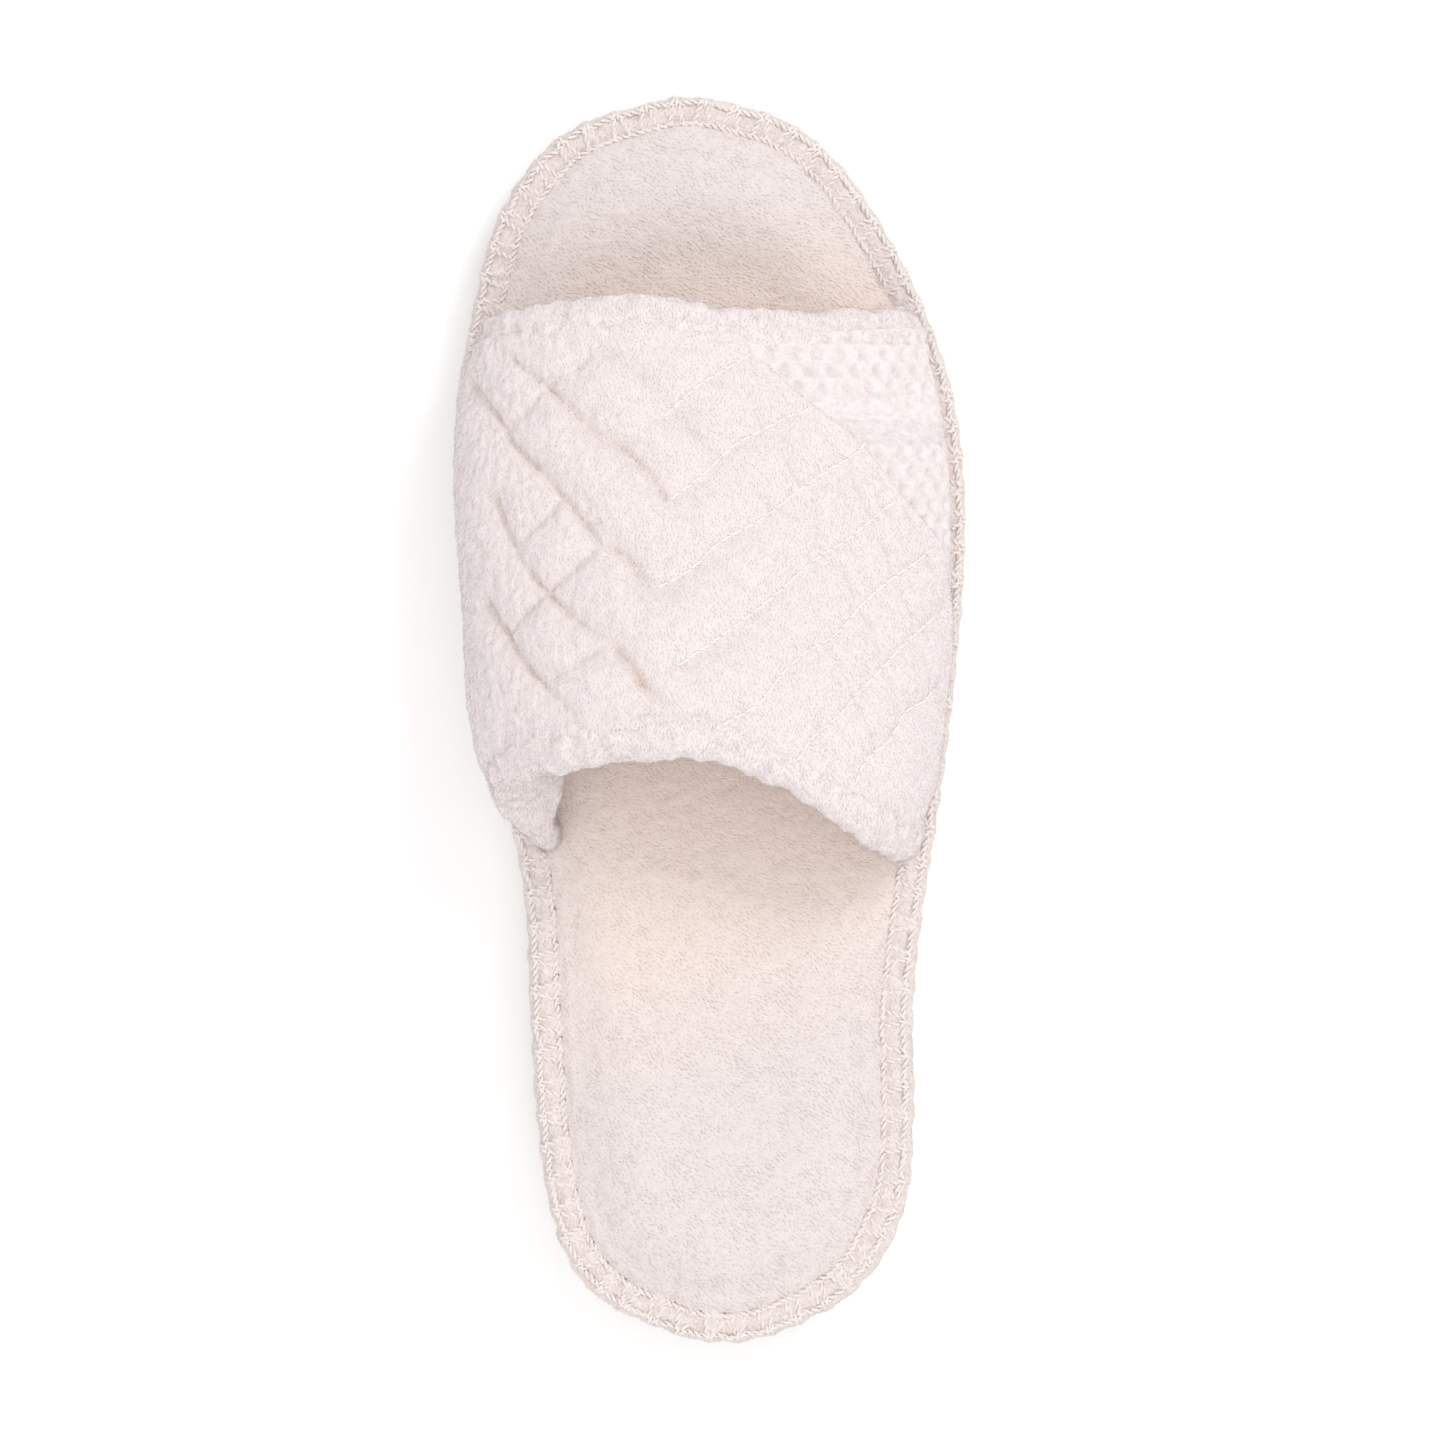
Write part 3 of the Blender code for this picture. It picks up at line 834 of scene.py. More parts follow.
def napped(name, bed, finish, slot, node, spacing, grain, lie, swirl, lift=0.25, seed=1):
    """Scatters locks over a bed.  A grain is its width and its length."""
    width, length = grain
    piece = grown(
        NAP, name, bed, spacing=spacing, grain=(width, FLATNESS * width, length),
        lie=lie, lift=lift, swirl=swirl, swirl_size=SWIRL_SIZE,
        seed=seed, finish=finish)
    if bed.name.endswith("_bed"):
        bpy.data.objects.remove(bed)
    declare(piece, slot, node)
    return piece


# %% [markdown]
# The outsole is a moulded slab with rounded edges that shows as a thin rim all round.
# Its form is the solid's, drawn with twenty times as many points, so that its edge is
# a true curve.  The foam above it is hidden by the binding but is there all the same.
# %% Outsole and foam
ROUND_STEPS = 6
TOP_ROUND = 0.35 * OUTSOLE_ROUND
FOAM_ROUND = 0.6 * BAND_ROUND


def ring_piece(name, profile, finish, closed=False):
    """A piece through loops round the sole.  Each loop is an inset and a height."""
    loops = []
    for inset, height in profile:
        flat = inset_ring(EDGE, inset)
        loops.append(np.column_stack([flat, height(flat[:, 1])]))
    index = numbered(len(loops), EDGE_POINTS)
    faces = quads(index, around=closed, across=True)
    if not closed:
        faces += ladder(index[0]) + ladder(index[-1])
    return made_piece(name, np.array(loops), faces, finish)


def above(height, rise):
    return lambda y: height(y) + rise


quarter = np.linspace(0.0, 0.5 * np.pi, ROUND_STEPS)
profile = [(OUTSOLE_ROUND * (1.0 - np.sin(a)),
            above(ground_lift, OUTSOLE_ROUND * (1.0 - np.cos(a)))) for a in quarter]
profile += [(TOP_ROUND * (1.0 - np.cos(a)),
             above(outsole_top, TOP_ROUND * (np.sin(a) - 1.0))) for a in quarter]
outsole = ring_piece("outsole_moulded", profile, RUBBER)
declare(outsole, "outsole", "outsole")

foam_side = BAND_INSET + BAND_THICKNESS + GAP
foam_top = above(band_top, -(BAND_THICKNESS + GAP))
foam = ring_piece("midsole_core", [
    (foam_side, above(outsole_top, GAP)),
    (foam_side, above(foam_top, -FOAM_ROUND)),
    (foam_side + FOAM_ROUND, foam_top),
], FOAM)
declare(foam, "midsole_foam", "midsole")

# %% [markdown]
# A strip of plush wraps the edge of the sole from the outsole up over the foam and on to
# the footbed.  It is plump, so it stands out past the sole, most at the corners of the
# heel.  The blanket stitch gathers it: it is drawn in along the two lines where yarn runs
# and stands up between the stitches.
# %% Plumpness of the binding
STITCHES = 94
STITCH = EDGE_LENGTH / STITCHES
OUTER_RUN = 1.9 * MM
INNER_RUN = 6.2 * MM
PLUMP_ALL_ROUND = 0.7 * MM
PLUMPS = table(
    "x y size more",
    (34.0, -70.0, 50.0, 0.7), (32.0, -114.0, 15.0, 1.0), (-28.0, -117.0, 13.0, 0.6),
    (-36.0, 121.0, 10.0, 0.6),
)
plumpness = np.full(EDGE_POINTS, PLUMP_ALL_ROUND)
for plump in PLUMPS:
    away = np.hypot(EDGE[:, 0] / MM - plump.x, EDGE[:, 1] / MM - plump.y)
    plumpness += plump.more * MM * bell(away, plump.size)
print("stitches", round(STITCH / MM, 2), "mm apart, binding up to",
      round(plumpness.max() / MM, 1), "mm plump")

# %% [markdown]
# Its section goes up the side of the foam, round the corner and over the top, where a
# hidden edge turns down into the seam.  Each point of the section has its own share of the
# plumpness: least at the bottom, where the strip is glued, and most at the corner.
# %% Binding
SIDE_STEPS = 9
TOP_STEPS = 10
LOW_FULLNESS = 0.3
TOP_FULLNESS = 0.6
ARCHED = 0.4 * MM
BAND_SWELL = 0.35 * MM
OUTER_PULL = 1.0 * MM
INNER_PULL = 0.9 * MM
PULLED_DOWN = 0.40 * MM
GATHERED_DOWN = 0.35 * MM
wall_top = above(band_top, -BAND_ROUND)
hidden_top = above(band_top, -BAND_THICKNESS)
BandPoint = namedtuple("BandPoint", "inset fullness height")


def wall(share):
    return lambda y: outsole_top(y) + GAP + (wall_top(y) - outsole_top(y) - GAP) * share


band_points = []
for share in np.linspace(0.0, 1.0, SIDE_STEPS):
    fullness = LOW_FULLNESS + (1.0 - LOW_FULLNESS) * np.sin(0.5 * np.pi * share)
    band_points.append(BandPoint(BAND_INSET, fullness, wall(share)))
for a in quarter[1:]:
    fullness = TOP_FULLNESS + (1.0 - TOP_FULLNESS) * np.cos(a)
    band_points.append(BandPoint(BAND_INSET + BAND_ROUND * (1.0 - np.cos(a)), fullness,
                                 above(band_top, BAND_ROUND * (np.sin(a) - 1.0))))
for share in np.linspace(0.0, 1.0, TOP_STEPS + 1)[1:]:
    inset = BAND_INSET + BAND_ROUND + (BAND_WIDTH - BAND_ROUND) * share
    rise = ARCHED * np.sin(np.pi * share)
    band_points.append(BandPoint(inset, TOP_FULLNESS * (1.0 - share), above(band_top, rise)))
SEEN_LOOPS = len(band_points)
inner_side = BAND_INSET + BAND_THICKNESS
band_points += [
    BandPoint(BAND_INNER, 0.0, hidden_top),
    BandPoint(inner_side + FOAM_ROUND, 0.0, hidden_top),
    BandPoint(inner_side, 0.0, above(hidden_top, -FOAM_ROUND)),
    BandPoint(inner_side, 0.0, above(outsole_top, GAP)),
]
profile = [(point.inset - point.fullness * plumpness[:, None], point.height)
           for point in band_points]
binding = ring_piece("edge_binding_wrap", profile, BINDING, closed=True)
insets = np.array(column(band_points, "inset"))[:, None]
seen = (np.arange(len(band_points)) < SEEN_LOOPS)[:, None]
pulled = bell(insets - OUTER_RUN, OUTER_PULL) + bell(insets - INNER_RUN, INNER_PULL)
stitch_phase = 2.0 * np.pi * np.arange(EDGE_POINTS) * EDGE_LENGTH / EDGE_POINTS / STITCH
gathered = 0.5 + 0.5 * np.cos(stitch_phase)[None, :]
relief = BAND_SWELL - PULLED_DOWN * pulled - GATHERED_DOWN * gathered
push(binding, np.where(seen, relief, 0.0))
ruffle(binding, (3.0 * MM, 0.35 * MM), (1.3 * MM, 0.25 * MM))
declare(binding, "binding_fabric", "edge_binding")
seen_band = points_of(binding).reshape(len(band_points), EDGE_POINTS, 3)[2:SEEN_LOOPS]
seen_band = np.concatenate([seen_band, seen_band[:, :1]], axis=1)
napped("edge_binding_nap", sheet_bed("band_bed", seen_band), BINDING, "binding_fabric",
       "edge_binding", 0.75 * MM, (0.16 * MM, 1.3 * MM), (0.3, -0.6, 0.0), 3.5,
       lift=0.5, seed=41)

# %% [markdown]
# The footbed is a pad under plush.  Its points lie on loops that shrink from the
# seam towards a line down the middle, because such loops follow the outline closely
# where it matters.  The height comes from how far a point is from the edge, with a
# few listed soft hollows where a foot and the packing have pressed it.
# %% Heights of the footbed
SOCK_POINTS = 900
SOCK_LOOPS = 56
SPINE = (-82.0 * MM, 84.0 * MM)
CROWDING = 1.25
SOCK_EDGE = INNER_RUN + 0.2 * MM
SEAM_DIP = 0.35 * MM
SEAM_DIP_WIDTH = 0.5 * MM
SEAM_SWELL = 0.7 * MM
SEAM_SWELL_WIDTH = 1.6 * MM
UNEVEN = 0.6 * MM
UNEVEN_SIZE = 22.0 * MM
UNEVEN_FROM = 5.0 * MM
DENTS = table(
    "x y wide long depth",
    (-2.0, 92.0, 22.0, 9.0, 1.6), (22.0, 84.0, 14.0, 12.0, 1.0), (-24.0, 88.0, 12.0, 10.0, 0.9),
    (4.0, -78.0, 24.0, 30.0, 0.9), (18.0, -34.0, 12.0, 18.0, 0.8),
    (-20.0, -36.0, 10.0, 22.0, 0.6), (0.0, 20.0, 30.0, 40.0, 0.8),
)
sock_ring = even_ring(SOCK_POINTS)[0]
seam = inset_ring(sock_ring, SOCK_EDGE)
middle = np.clip(seam[:, 1], *SPINE)
spine = np.column_stack([0.5 * sum(feather_sides(middle)), middle])
shares = (np.linspace(0.0, 1.0, SOCK_LOOPS) ** CROWDING)[:, None, None]
plan = (seam[None] + (spine - seam)[None] * shares).reshape(-1, 2)
edge_tree = search_tree(np.column_stack([EDGE, np.zeros(EDGE_POINTS)]))
inset = np.array([edge_tree.find((x, y, 0.0))[2] for x, y in plan.tolist()])
height = sock_top(plan[:, 1], inset) - SEAM_DIP * bell(inset - SOCK_EDGE, SEAM_DIP_WIDTH)
height += SEAM_SWELL * bell(inset - SOCK_EDGE - SEAM_SWELL_WIDTH, SEAM_SWELL_WIDTH)
for dent in DENTS:
    away = (plan / MM - (dent.x, dent.y)) / (dent.wide, dent.long)
    height -= dent.depth * MM * bell(np.hypot(*away.T), 1.0)
soft_edge = ramp(inset, BAND_INNER, BAND_INNER + UNEVEN_FROM)
height += soft_edge * (UNEVEN * clumps(np.column_stack([plan, height]), UNEVEN_SIZE, 5.0))
sock_points = np.column_stack([plan, height]).reshape(SOCK_LOOPS, SOCK_POINTS, 3)
print("footbed between", round(height.min() / MM, 1), "and", round(height.max() / MM, 1), "mm up")

# %% [markdown]
# The pad is closed underneath by flat faces that nobody sees.  Loops that meet in the
# middle leave points on top of each other, and those are merged.  Shade is painted on the
# pile as a warm tint: under the upper, a way behind it and just ahead of it, where the
# upper's shadow and its warm bounced light fall.
# %% Padded footbed
MERGE = 0.02 * MM
SOCK_SHADE = 0.72
LEAST_SOCK_SHADE = 0.3
SLANT = 0.27


def sock_painted_shade(points):
    """How much painted shade, a warm tint, each point of the pile gets."""
    x, y = points[..., 0], points[..., 1]
    behind = ease(ramp(y - SLANT * x, -78.0 * MM, -30.0 * MM))
    ahead = ease(ramp(y, 112.0 * MM, 84.0 * MM))
    inner_edge = LEAST_SOCK_SHADE + (1.0 - LEAST_SOCK_SHADE) * ease(ramp(x, -38.0 * MM, -18.0 * MM))
    return SOCK_SHADE * behind * ahead * inner_edge


index = numbered(SOCK_LOOPS, SOCK_POINTS)
below = index.size + np.arange(SOCK_POINTS)
under = inset_ring(sock_ring, BAND_INNER + GAP)
under = np.column_stack([under, band_top(under[:, 1]) - BAND_THICKNESS])
faces = quads(index, across=True) + quads(np.stack([index[0], below]), across=True)
footbed = made_piece(
    "footbed_pad", np.vstack([sock_points.reshape(-1, 3), under]), faces + ladder(below),
    SOCK_PLUSH, merge=MERGE)
ruffle(footbed, (3.2 * MM, 0.20 * MM), (1.4 * MM, 0.18 * MM))
declare(footbed, "sock_plush", "insole")
paint_shade(footbed, sock_painted_shade(points_of(footbed)))
napped("footbed_nap", sheet_bed("sock_bed", sock_points, sock_painted_shade(sock_points)), SOCK_PLUSH,
       "sock_plush", "insole", 0.75 * MM, (0.16 * MM, 1.6 * MM), (0.8, -0.5, 0.0), 1.6,
       lift=0.35, seed=11)

# %% [markdown]
# The upper is a thin wall of fleece with the outer cloths laid on it.  Its own surface
# shows only from inside and from below, so the side under the outer cloths is coarse.
# %% Lining
FLEECE_NAP = 1.0 * MM
LINING_ACROSS = 161
LINING_ALONG = 65
LINING_COARSER = 4


def sheet_lengths(start, end, rows):
    """Places along the shoe for the rows of a sheet from one line to another."""
    return start + (end - start) * np.linspace(0.0, 1.0, rows)[:, None]


turns = np.linspace(-1.0, 1.0, LINING_ACROSS)
lengths = sheet_lengths(shell_front(turns), shell_back(turns), LINING_ALONG)
few = every(LINING_COARSER)
lining = pad(
    "lining_wall", vamp_point(turns, lengths, UPPER_INNER_DEPTH + FLEECE_NAP),
    vamp_point(turns[few[1]], lengths[few], UPPER_DEPTH), FLEECE)
ruffle(lining, (3.0 * MM, 0.2 * MM))
declare(lining, "lining_fleece", "upper")

# %% [markdown]
# Quilting: plush and wadding are stitched through to a backing along crossing lines.
# Each line pulls the plush down into a narrow trough and the wadding swells between
# them.  The lines are given in the shoe's own sizes, as seen from above.
# They are drawn on the arched surface, and every point of the panel then knows how
# far it is from the nearest line.  On the inner flank the pile closes over a deep crease.
# On the outer flank the crease is slight and the thread itself shows.
# %% Quilting lines
QUILT_LINES = table(
    "depth crease points",
    # Long creases that run forwards and inwards over the inner flank, with fainter ends
    (1.0, 1.0, ((-44, 80), (-39, 74), (-33, 69), (-29, 65), (-22, 58), (-18, 56), (-13, 51),
     (-9, 45))),
    (0.5, 0.8, ((-9, 45), (-4, 40), (2, 31), (5, 28), (9, 24))),
    (1.0, 1.0, ((-49, 71), (-44, 64), (-40, 57), (-34, 51), (-30, 46), (-26, 41), (-22, 36),
     (-18, 34), (-14, 29), (-11, 27))),
    (0.4, 0.8, ((-11, 27), (-7, 24), (-3, 20), (2, 12), (4, 10), (6, 3))),
    (1.0, 1.0, ((-44, 46), (-42, 40), (-39, 34), (-35, 28), (-30, 23), (-28, 21), (-21, 16),
     (-18, 13), (-14, 7), (-10, 3), (-6, 0), (-5, -4))),
    (1.0, 1.0, ((-46, 25), (-42, 18), (-39, 13), (-35, 8), (-31, 4), (-25, -4))),
    # The same family over the ridge and the outer half, where it is fainter
    (0.8, 0.8, ((-26, 82), (-22, 77), (-16, 73), (-11, 69), (-8, 65), (-4, 60), (1, 55))),
    (0.7, 0.7, ((7, 69), (11, 62), (14, 57), (18, 49), (20, 45), (22, 40), (23, 35), (26, 31),
     (29, 27), (30, 23), (33, 18), (34, 14))),
    (0.65, 0.65, ((25, 60), (27, 54), (31, 46), (35, 37), (38, 29), (42, 19))),
    (0.65, 0.65, ((15, 35), (18, 27), (22, 21), (24, 15), (27, 8), (31, -1), (33, -5))),
    (0.5, 0.6, ((10, 22), (12, 17), (14, 12))),
    (0.5, 0.5, ((43, 38), (46, 30))),
    (0.5, 0.5, ((43, 13), (45, 7))),
    # Crossing lines, of which one near the toe hem shows its thread
    (0.9, 0.35, ((-9, 62), (-7, 64), (1, 70), (6, 73), (9, 75))),
    (0.9, 0.9, ((-41, 19), (-37, 24), (-31, 29), (-26, 33), (-22, 36))),
    (0.8, 0.9, ((-37, 39), (-34, 42), (-30, 46))),
    (0.8, 0.8, ((-42, 61), (-37, 65), (-33, 69), (-28, 72), (-24, 75))),
    (0.8, 0.8, ((-35, 8), (-28, 12), (-21, 16))),
    (0.5, 0.6, ((-26, 41), (-22, 47), (-18, 52), (-15, 54))),
    (0.3, 0.5, ((-22, 36), (-16, 41), (-8, 45))),
    # Crossing lines over the outer half, all with bright thread
    (1.0, 0.35, ((-8, 45), (0, 51), (4, 55), (11, 59), (17, 62), (20, 63), (22, 66))),
    (1.0, 0.35, ((-11, 27), (-5, 30), (2, 36), (11, 41), (19, 47), (25, 51), (30, 54), (33, 57))),
    (1.0, 0.35, ((-7, 11), (2, 17), (9, 22), (14, 26), (21, 32), (29, 37), (34, 41), (39, 45))),
    (1.0, 0.35, ((-3, -4), (2, -1), (9, 3), (15, 10), (20, 14), (24, 16), (31, 23), (37, 28),
     (43, 32), (47, 35))),
    (1.0, 0.35, ((16, -9), (20, -4), (25, 0), (30, 5), (35, 10), (40, 15), (45, 19), (48, 22))),
    (1.0, 0.35, ((28, -14), (31, -9), (36, -5), (40, 1), (44, 3), (47, 6))),
)
SLIGHT_CREASE = 0.35
LINE_STEP = 0.4 * MM
HALVINGS = 24


def along_line(points, step):
    """Points at even steps along a smooth curve through the given ones."""
    points = np.asarray(points, float)
    run = run_along(points)
    at = np.linspace(0.0, run[-1], max(2, int(run[-1] / step) + 1))
    return np.column_stack([through(run, points[:, axis], at) for axis in range(points.shape[1])])


def turn_at(x, y):
    """How far round the foot the upper's surface stands over a plan point."""
    low = np.full(len(x), -BELLY_TURN)
    high = np.full(len(x), BELLY_TURN)
    for _ in range(HALVINGS):
        middle = 0.5 * (low + high)
        left = vamp_surface(middle, y)[:, 0] < x
        low, high = np.where(left, middle, low), np.where(left, high, middle)
    return 0.5 * (low + high)


def on_upper(points):
    """A line given from above in millimetres, laid on the upper's surface."""
    x, y = along_line(np.multiply(points, MM), LINE_STEP).T
    return vamp_point(turn_at(x, y), y)


quilt_paths = [on_upper(line.points) for line in QUILT_LINES]
counts = [len(path) for path in quilt_paths]
line_depths = np.repeat(column(QUILT_LINES, "depth"), counts)
line_creases = np.repeat(column(QUILT_LINES, "crease"), counts)
line_tree = search_tree(np.vstack(quilt_paths))
print("quilting lines:", len(QUILT_LINES), "with", sum(counts), "points")

# %% [markdown]
# Wadding pushes the cloth out wherever no thread holds it.  A cloth simulation finds that
# shape better than a formula: a coarse sheet is held along the quilting and the borders
# and blown up for 20 frames without gravity.  The solver works best on things of about a
# metre, so the sheet is enlarged for it.  What counts is how far each point rose, and that
# is capped and carried over to the fine sheet, which keeps its narrow creases.
# %% Cloth simulation
SIM_SCALE = 20.0
SIM_FRAMES = 20
SIM_CAP = 2.2 * MM
SIM_QUALITY = 6
SIM_MASS = 0.3
LEAST_HOLD = 0.02
SMOOTHINGS = 4


def blown(points, faces, held, pressure):
    """How far each point moves when the sheet is blown up between the held points."""
    mesh = bpy.data.meshes.new("blown_sheet")
    mesh.from_pydata((points * SIM_SCALE).tolist(), [], faces)
    sheet = placed("blown_sheet", mesh)
    group = sheet.vertex_groups.new(name="held")
    for number, weight in enumerate(held.tolist()):
        if weight > LEAST_HOLD:
            group.add([number], weight, "REPLACE")
    modifier = sheet.modifiers.new("cloth", "CLOTH")
    modifier.settings.quality = SIM_QUALITY
    modifier.settings.mass = SIM_MASS
    modifier.settings.vertex_group_mass = "held"
    modifier.settings.use_pressure = True
    modifier.settings.uniform_pressure_force = pressure
    modifier.settings.effector_weights.gravity = 0.0
    modifier.collision_settings.use_collision = False
    for moment in range(1, SIM_FRAMES + 1):
        SCENE.frame_set(moment)
    shaped = sheet.evaluated_get(bpy.context.evaluated_depsgraph_get())
    flat = np.empty(3 * len(points))
    shaped.to_mesh().vertices.foreach_get("co", flat)
    shaped.to_mesh_clear()
    bpy.data.objects.remove(sheet)
    SCENE.frame_set(1)
    return flat.reshape(-1, 3) / SIM_SCALE - points


def finer(grid, rows, columns):
    """A grid of values spread over more rows and columns and smoothed."""
    at = np.linspace(0.0, grid.shape[1] - 1.0, columns)
    wide = np.array([np.interp(at, np.arange(grid.shape[1]), row) for row in grid])
    at = np.linspace(0.0, grid.shape[0] - 1.0, rows)
    spread = np.array([np.interp(at, np.arange(grid.shape[0]), row) for row in wide.T]).T
    for _ in range(SMOOTHINGS):
        spread[1:-1] = 0.5 * spread[1:-1] + 0.25 * (spread[:-2] + spread[2:])
        spread[:, 1:-1] = 0.5 * spread[:, 1:-1] + 0.25 * (spread[:, :-2] + spread[:, 2:])
    return spread


# %% [markdown]
# The quilted panel is a sheet of about half a millimetre a cell.  It tucks in under both
# hems and ends at the seam of the waffle-knit corner.  Each of its points looks up the
# nearest quilting line.  Along the seam and both hems the panel is stitched down too, so
# all relief fades out there.
# %% Sheet of the quilted panel
QUILT_ACROSS = 353
QUILT_ALONG = 177
LAP = 2.4 * MM
EDGE_FADE = 4.0 * MM
FOOT_FADE = 0.08
turns = np.linspace(-1.0, 1.0, QUILT_ACROSS)
under_hem = turns < PANEL_SEAM[0].turn
start = (quilt_front(turns) + np.where(under_hem, HEM_GAP + LAP, 0.0))[None]
end = (shell_back(turns) - HEM_GAP - LAP)[None]
lengths = sheet_lengths(start, end, QUILT_ALONG)
flat_quilt = vamp_point(turns, lengths)
quilt_outwards = vamp_normal(np.broadcast_to(turns, lengths.shape), lengths)
found = [line_tree.find(place)[1:] for place in flat_quilt.reshape(-1, 3).tolist()]
nearest = [row[0] for row in found]
apart = np.array([row[1] for row in found]).reshape(lengths.shape)
depth = line_depths[nearest].reshape(lengths.shape)
crease = line_creases[nearest].reshape(lengths.shape)
border = np.minimum(start - lengths, lengths - end)
foot_fade = ramp(1.0 - np.abs(turns), 0.0, FOOT_FADE)[None]
border_fade = ramp(border, LAP, LAP + EDGE_FADE) * foot_fade
print("panel sheet:", lengths.size, "points, up to", round(apart.max() / MM), "mm from a line")

# %% [markdown]
# The simulation holds every fourth point of the sheet along the lines, more firmly where a
# line is sewn deeper, and all round the border.
# %% Swelling
PRESSURE = 140.0
SIM_STEP = 4
HOLD = 1.4
HOLD_WIDTH = 1.4 * MM
few = every(SIM_STEP)
coarse = flat_quilt[few]
held = HOLD * depth[few] * bell(apart[few], HOLD_WIDTH)
held = np.where(border[few] < EDGE_FADE, 1.0, np.clip(held, 0.0, 1.0))
held[:, [0, -1]] = 1.0
outward_faces = [face[::-1] for face in quads(numbered(*held.shape))]
moved = blown(coarse.reshape(-1, 3), outward_faces, held.ravel(), PRESSURE)
rose = np.sum(moved.reshape(coarse.shape) * quilt_outwards[few], axis=-1)
print("simulated rise:", np.percentile(rose / MM, [5, 50, 95]).round(2), "mm")
swell = finer(np.clip(rose, 0.0, SIM_CAP), *lengths.shape)

# %% [markdown]
# The narrow creases are finer than the simulated sheet, so they are cut into the fine one.
# Slow noise breaks them up, because pile falls over a crease here and there.  Two sizes of
# locks roughen the inner flank, where the pile stands up, and hardly the outer one.
# %% Creases and locks
TROUGH = 0.95 * MM
TROUGH_WIDTH = 0.8 * MM
BREAK_SIZE = 5.0 * MM
SINK = 0.5 * MM
LOCK = np.multiply((1.6, 3.0, 1.8), MM)
LOCK_HEIGHT = 0.42 * MM
CURL = np.multiply((0.9, 1.8, 1.1), MM)
CURL_HEIGHT = 0.28 * MM
OUTER_LOCKS = 0.12
INNER_LOCKS = 0.95
broken = 0.85 + 0.9 * clumps(flat_quilt, BREAK_SIZE, 2.9).reshape(lengths.shape)
trough = TROUGH * depth * crease * broken * bell(apart, TROUGH_WIDTH) * border_fade
grain = (LOCK_HEIGHT * clumps(flat_quilt, LOCK, 8.1)
         + CURL_HEIGHT * clumps(flat_quilt, CURL, 4.7)).reshape(lengths.shape)
inner_flank = ramp(-turns, -0.15, 0.40)[None]
grain *= (OUTER_LOCKS + INNER_LOCKS * inner_flank) * foot_fade
rise = swell - trough + grain - SINK * border_fade
print("deepest crease:", round(trough.max() / MM, 2), "mm")

# %% [markdown]
# Under the hems the panel stands flush with them and its very edge dives in.  At the foot
# it flares out a little over the binding.  Its hidden side keeps every eighth row and
# column of points.
# %% Quilted panel
LAP_DEPTH = 0.9 * MM
DIVE_WIDTH = 1.0 * MM
FLARE = 0.9 * MM
FLARE_STARTS = 0.93
UNDER_STEP = 8
CREASE_SHADE = 0.20
CREASE_SHADE_WIDTH = 1.3 * MM


def flare_at(turns):
    """How far the cloth stands out at the foot of the upper."""
    return FLARE * ramp(turns, FLARE_STARTS, 1.0)[None] ** 2


def underside(turns, lengths):
    """The hidden side of an outer cloth."""
    few = every(UNDER_STEP)
    return vamp_point(turns[few[1]], lengths[few], PANEL_THICKNESS)


hem_edge = np.where((start - lengths < lengths - end) & ~under_hem, 0.0, 1.0)
rise += HEM_PROUD * ramp(border, LAP + EDGE_FADE, LAP) * hem_edge
rise += flare_at(turns) - LAP_DEPTH * ramp(border, DIVE_WIDTH, 0.0) ** 2
quilt_points = flat_quilt + quilt_outwards * rise[..., None]
quilt = pad("quilted_plush_panel", quilt_points, underside(turns, lengths), PLUSH)
declare(quilt, "quilted_plush", "quilted_panel")
# Painted shade: the deep creases of the inner flank turn tan where shade falls into them.
quilt_painted_shade = CREASE_SHADE * depth * broken * ramp(crease, 0.6, 1.0)
quilt_painted_shade *= bell(apart, CREASE_SHADE_WIDTH) * border_fade
under_count = len(quilt.data.vertices) - quilt_painted_shade.size
paint_shade(quilt, np.concatenate([quilt_painted_shade.ravel(), np.zeros(under_count)]))
napped("quilted_plush_nap", sheet_bed("quilt_bed", quilt_points, quilt_painted_shade), PLUSH,
       "quilted_plush", "quilted_panel", 0.62 * MM, (0.18 * MM, 1.3 * MM), (0.15, -1.0, -0.3),
       2.8, lift=0.4, seed=21)

# %% [markdown]
# The corner by the little toe is a waffle knit: sunken cells in offset rows with a
# raised thread round each, a ribbed band across, and longer floats of thread above it.
# Its pattern is a height worked out from where a point lies on the cloth.
# %% Sheet of the waffle-knit corner
WAFFLE_ACROSS = 241
WAFFLE_ALONG = 145
WAFFLE_SECTION = 0.72
UNDER_SEAM = 0.05
UNDERLAP = 3.0 * MM
turns = np.linspace(PANEL_SEAM[0].turn - UNDER_SEAM, 1.0, WAFFLE_ACROSS)
start = (shell_front(turns) + HEM_GAP + LAP)[None]
seam = seam_line(np.maximum(turns, PANEL_SEAM[0].turn))
end = np.minimum(seam, shell_front(turns))[None] - UNDERLAP
lengths = sheet_lengths(start, end, WAFFLE_ALONG)
top_depth = PANEL_THICKNESS - WAFFLE_THICKNESS
flat_waffle = vamp_point(turns, lengths, top_depth)
outwards = vamp_normal(np.broadcast_to(turns, lengths.shape), lengths)
across = run_along(vamp_surface(turns, np.full(WAFFLE_ACROSS, length_at(WAFFLE_SECTION))))[None]
print("waffle knit:", round(across.max() / MM), "mm from the seam to the foot")

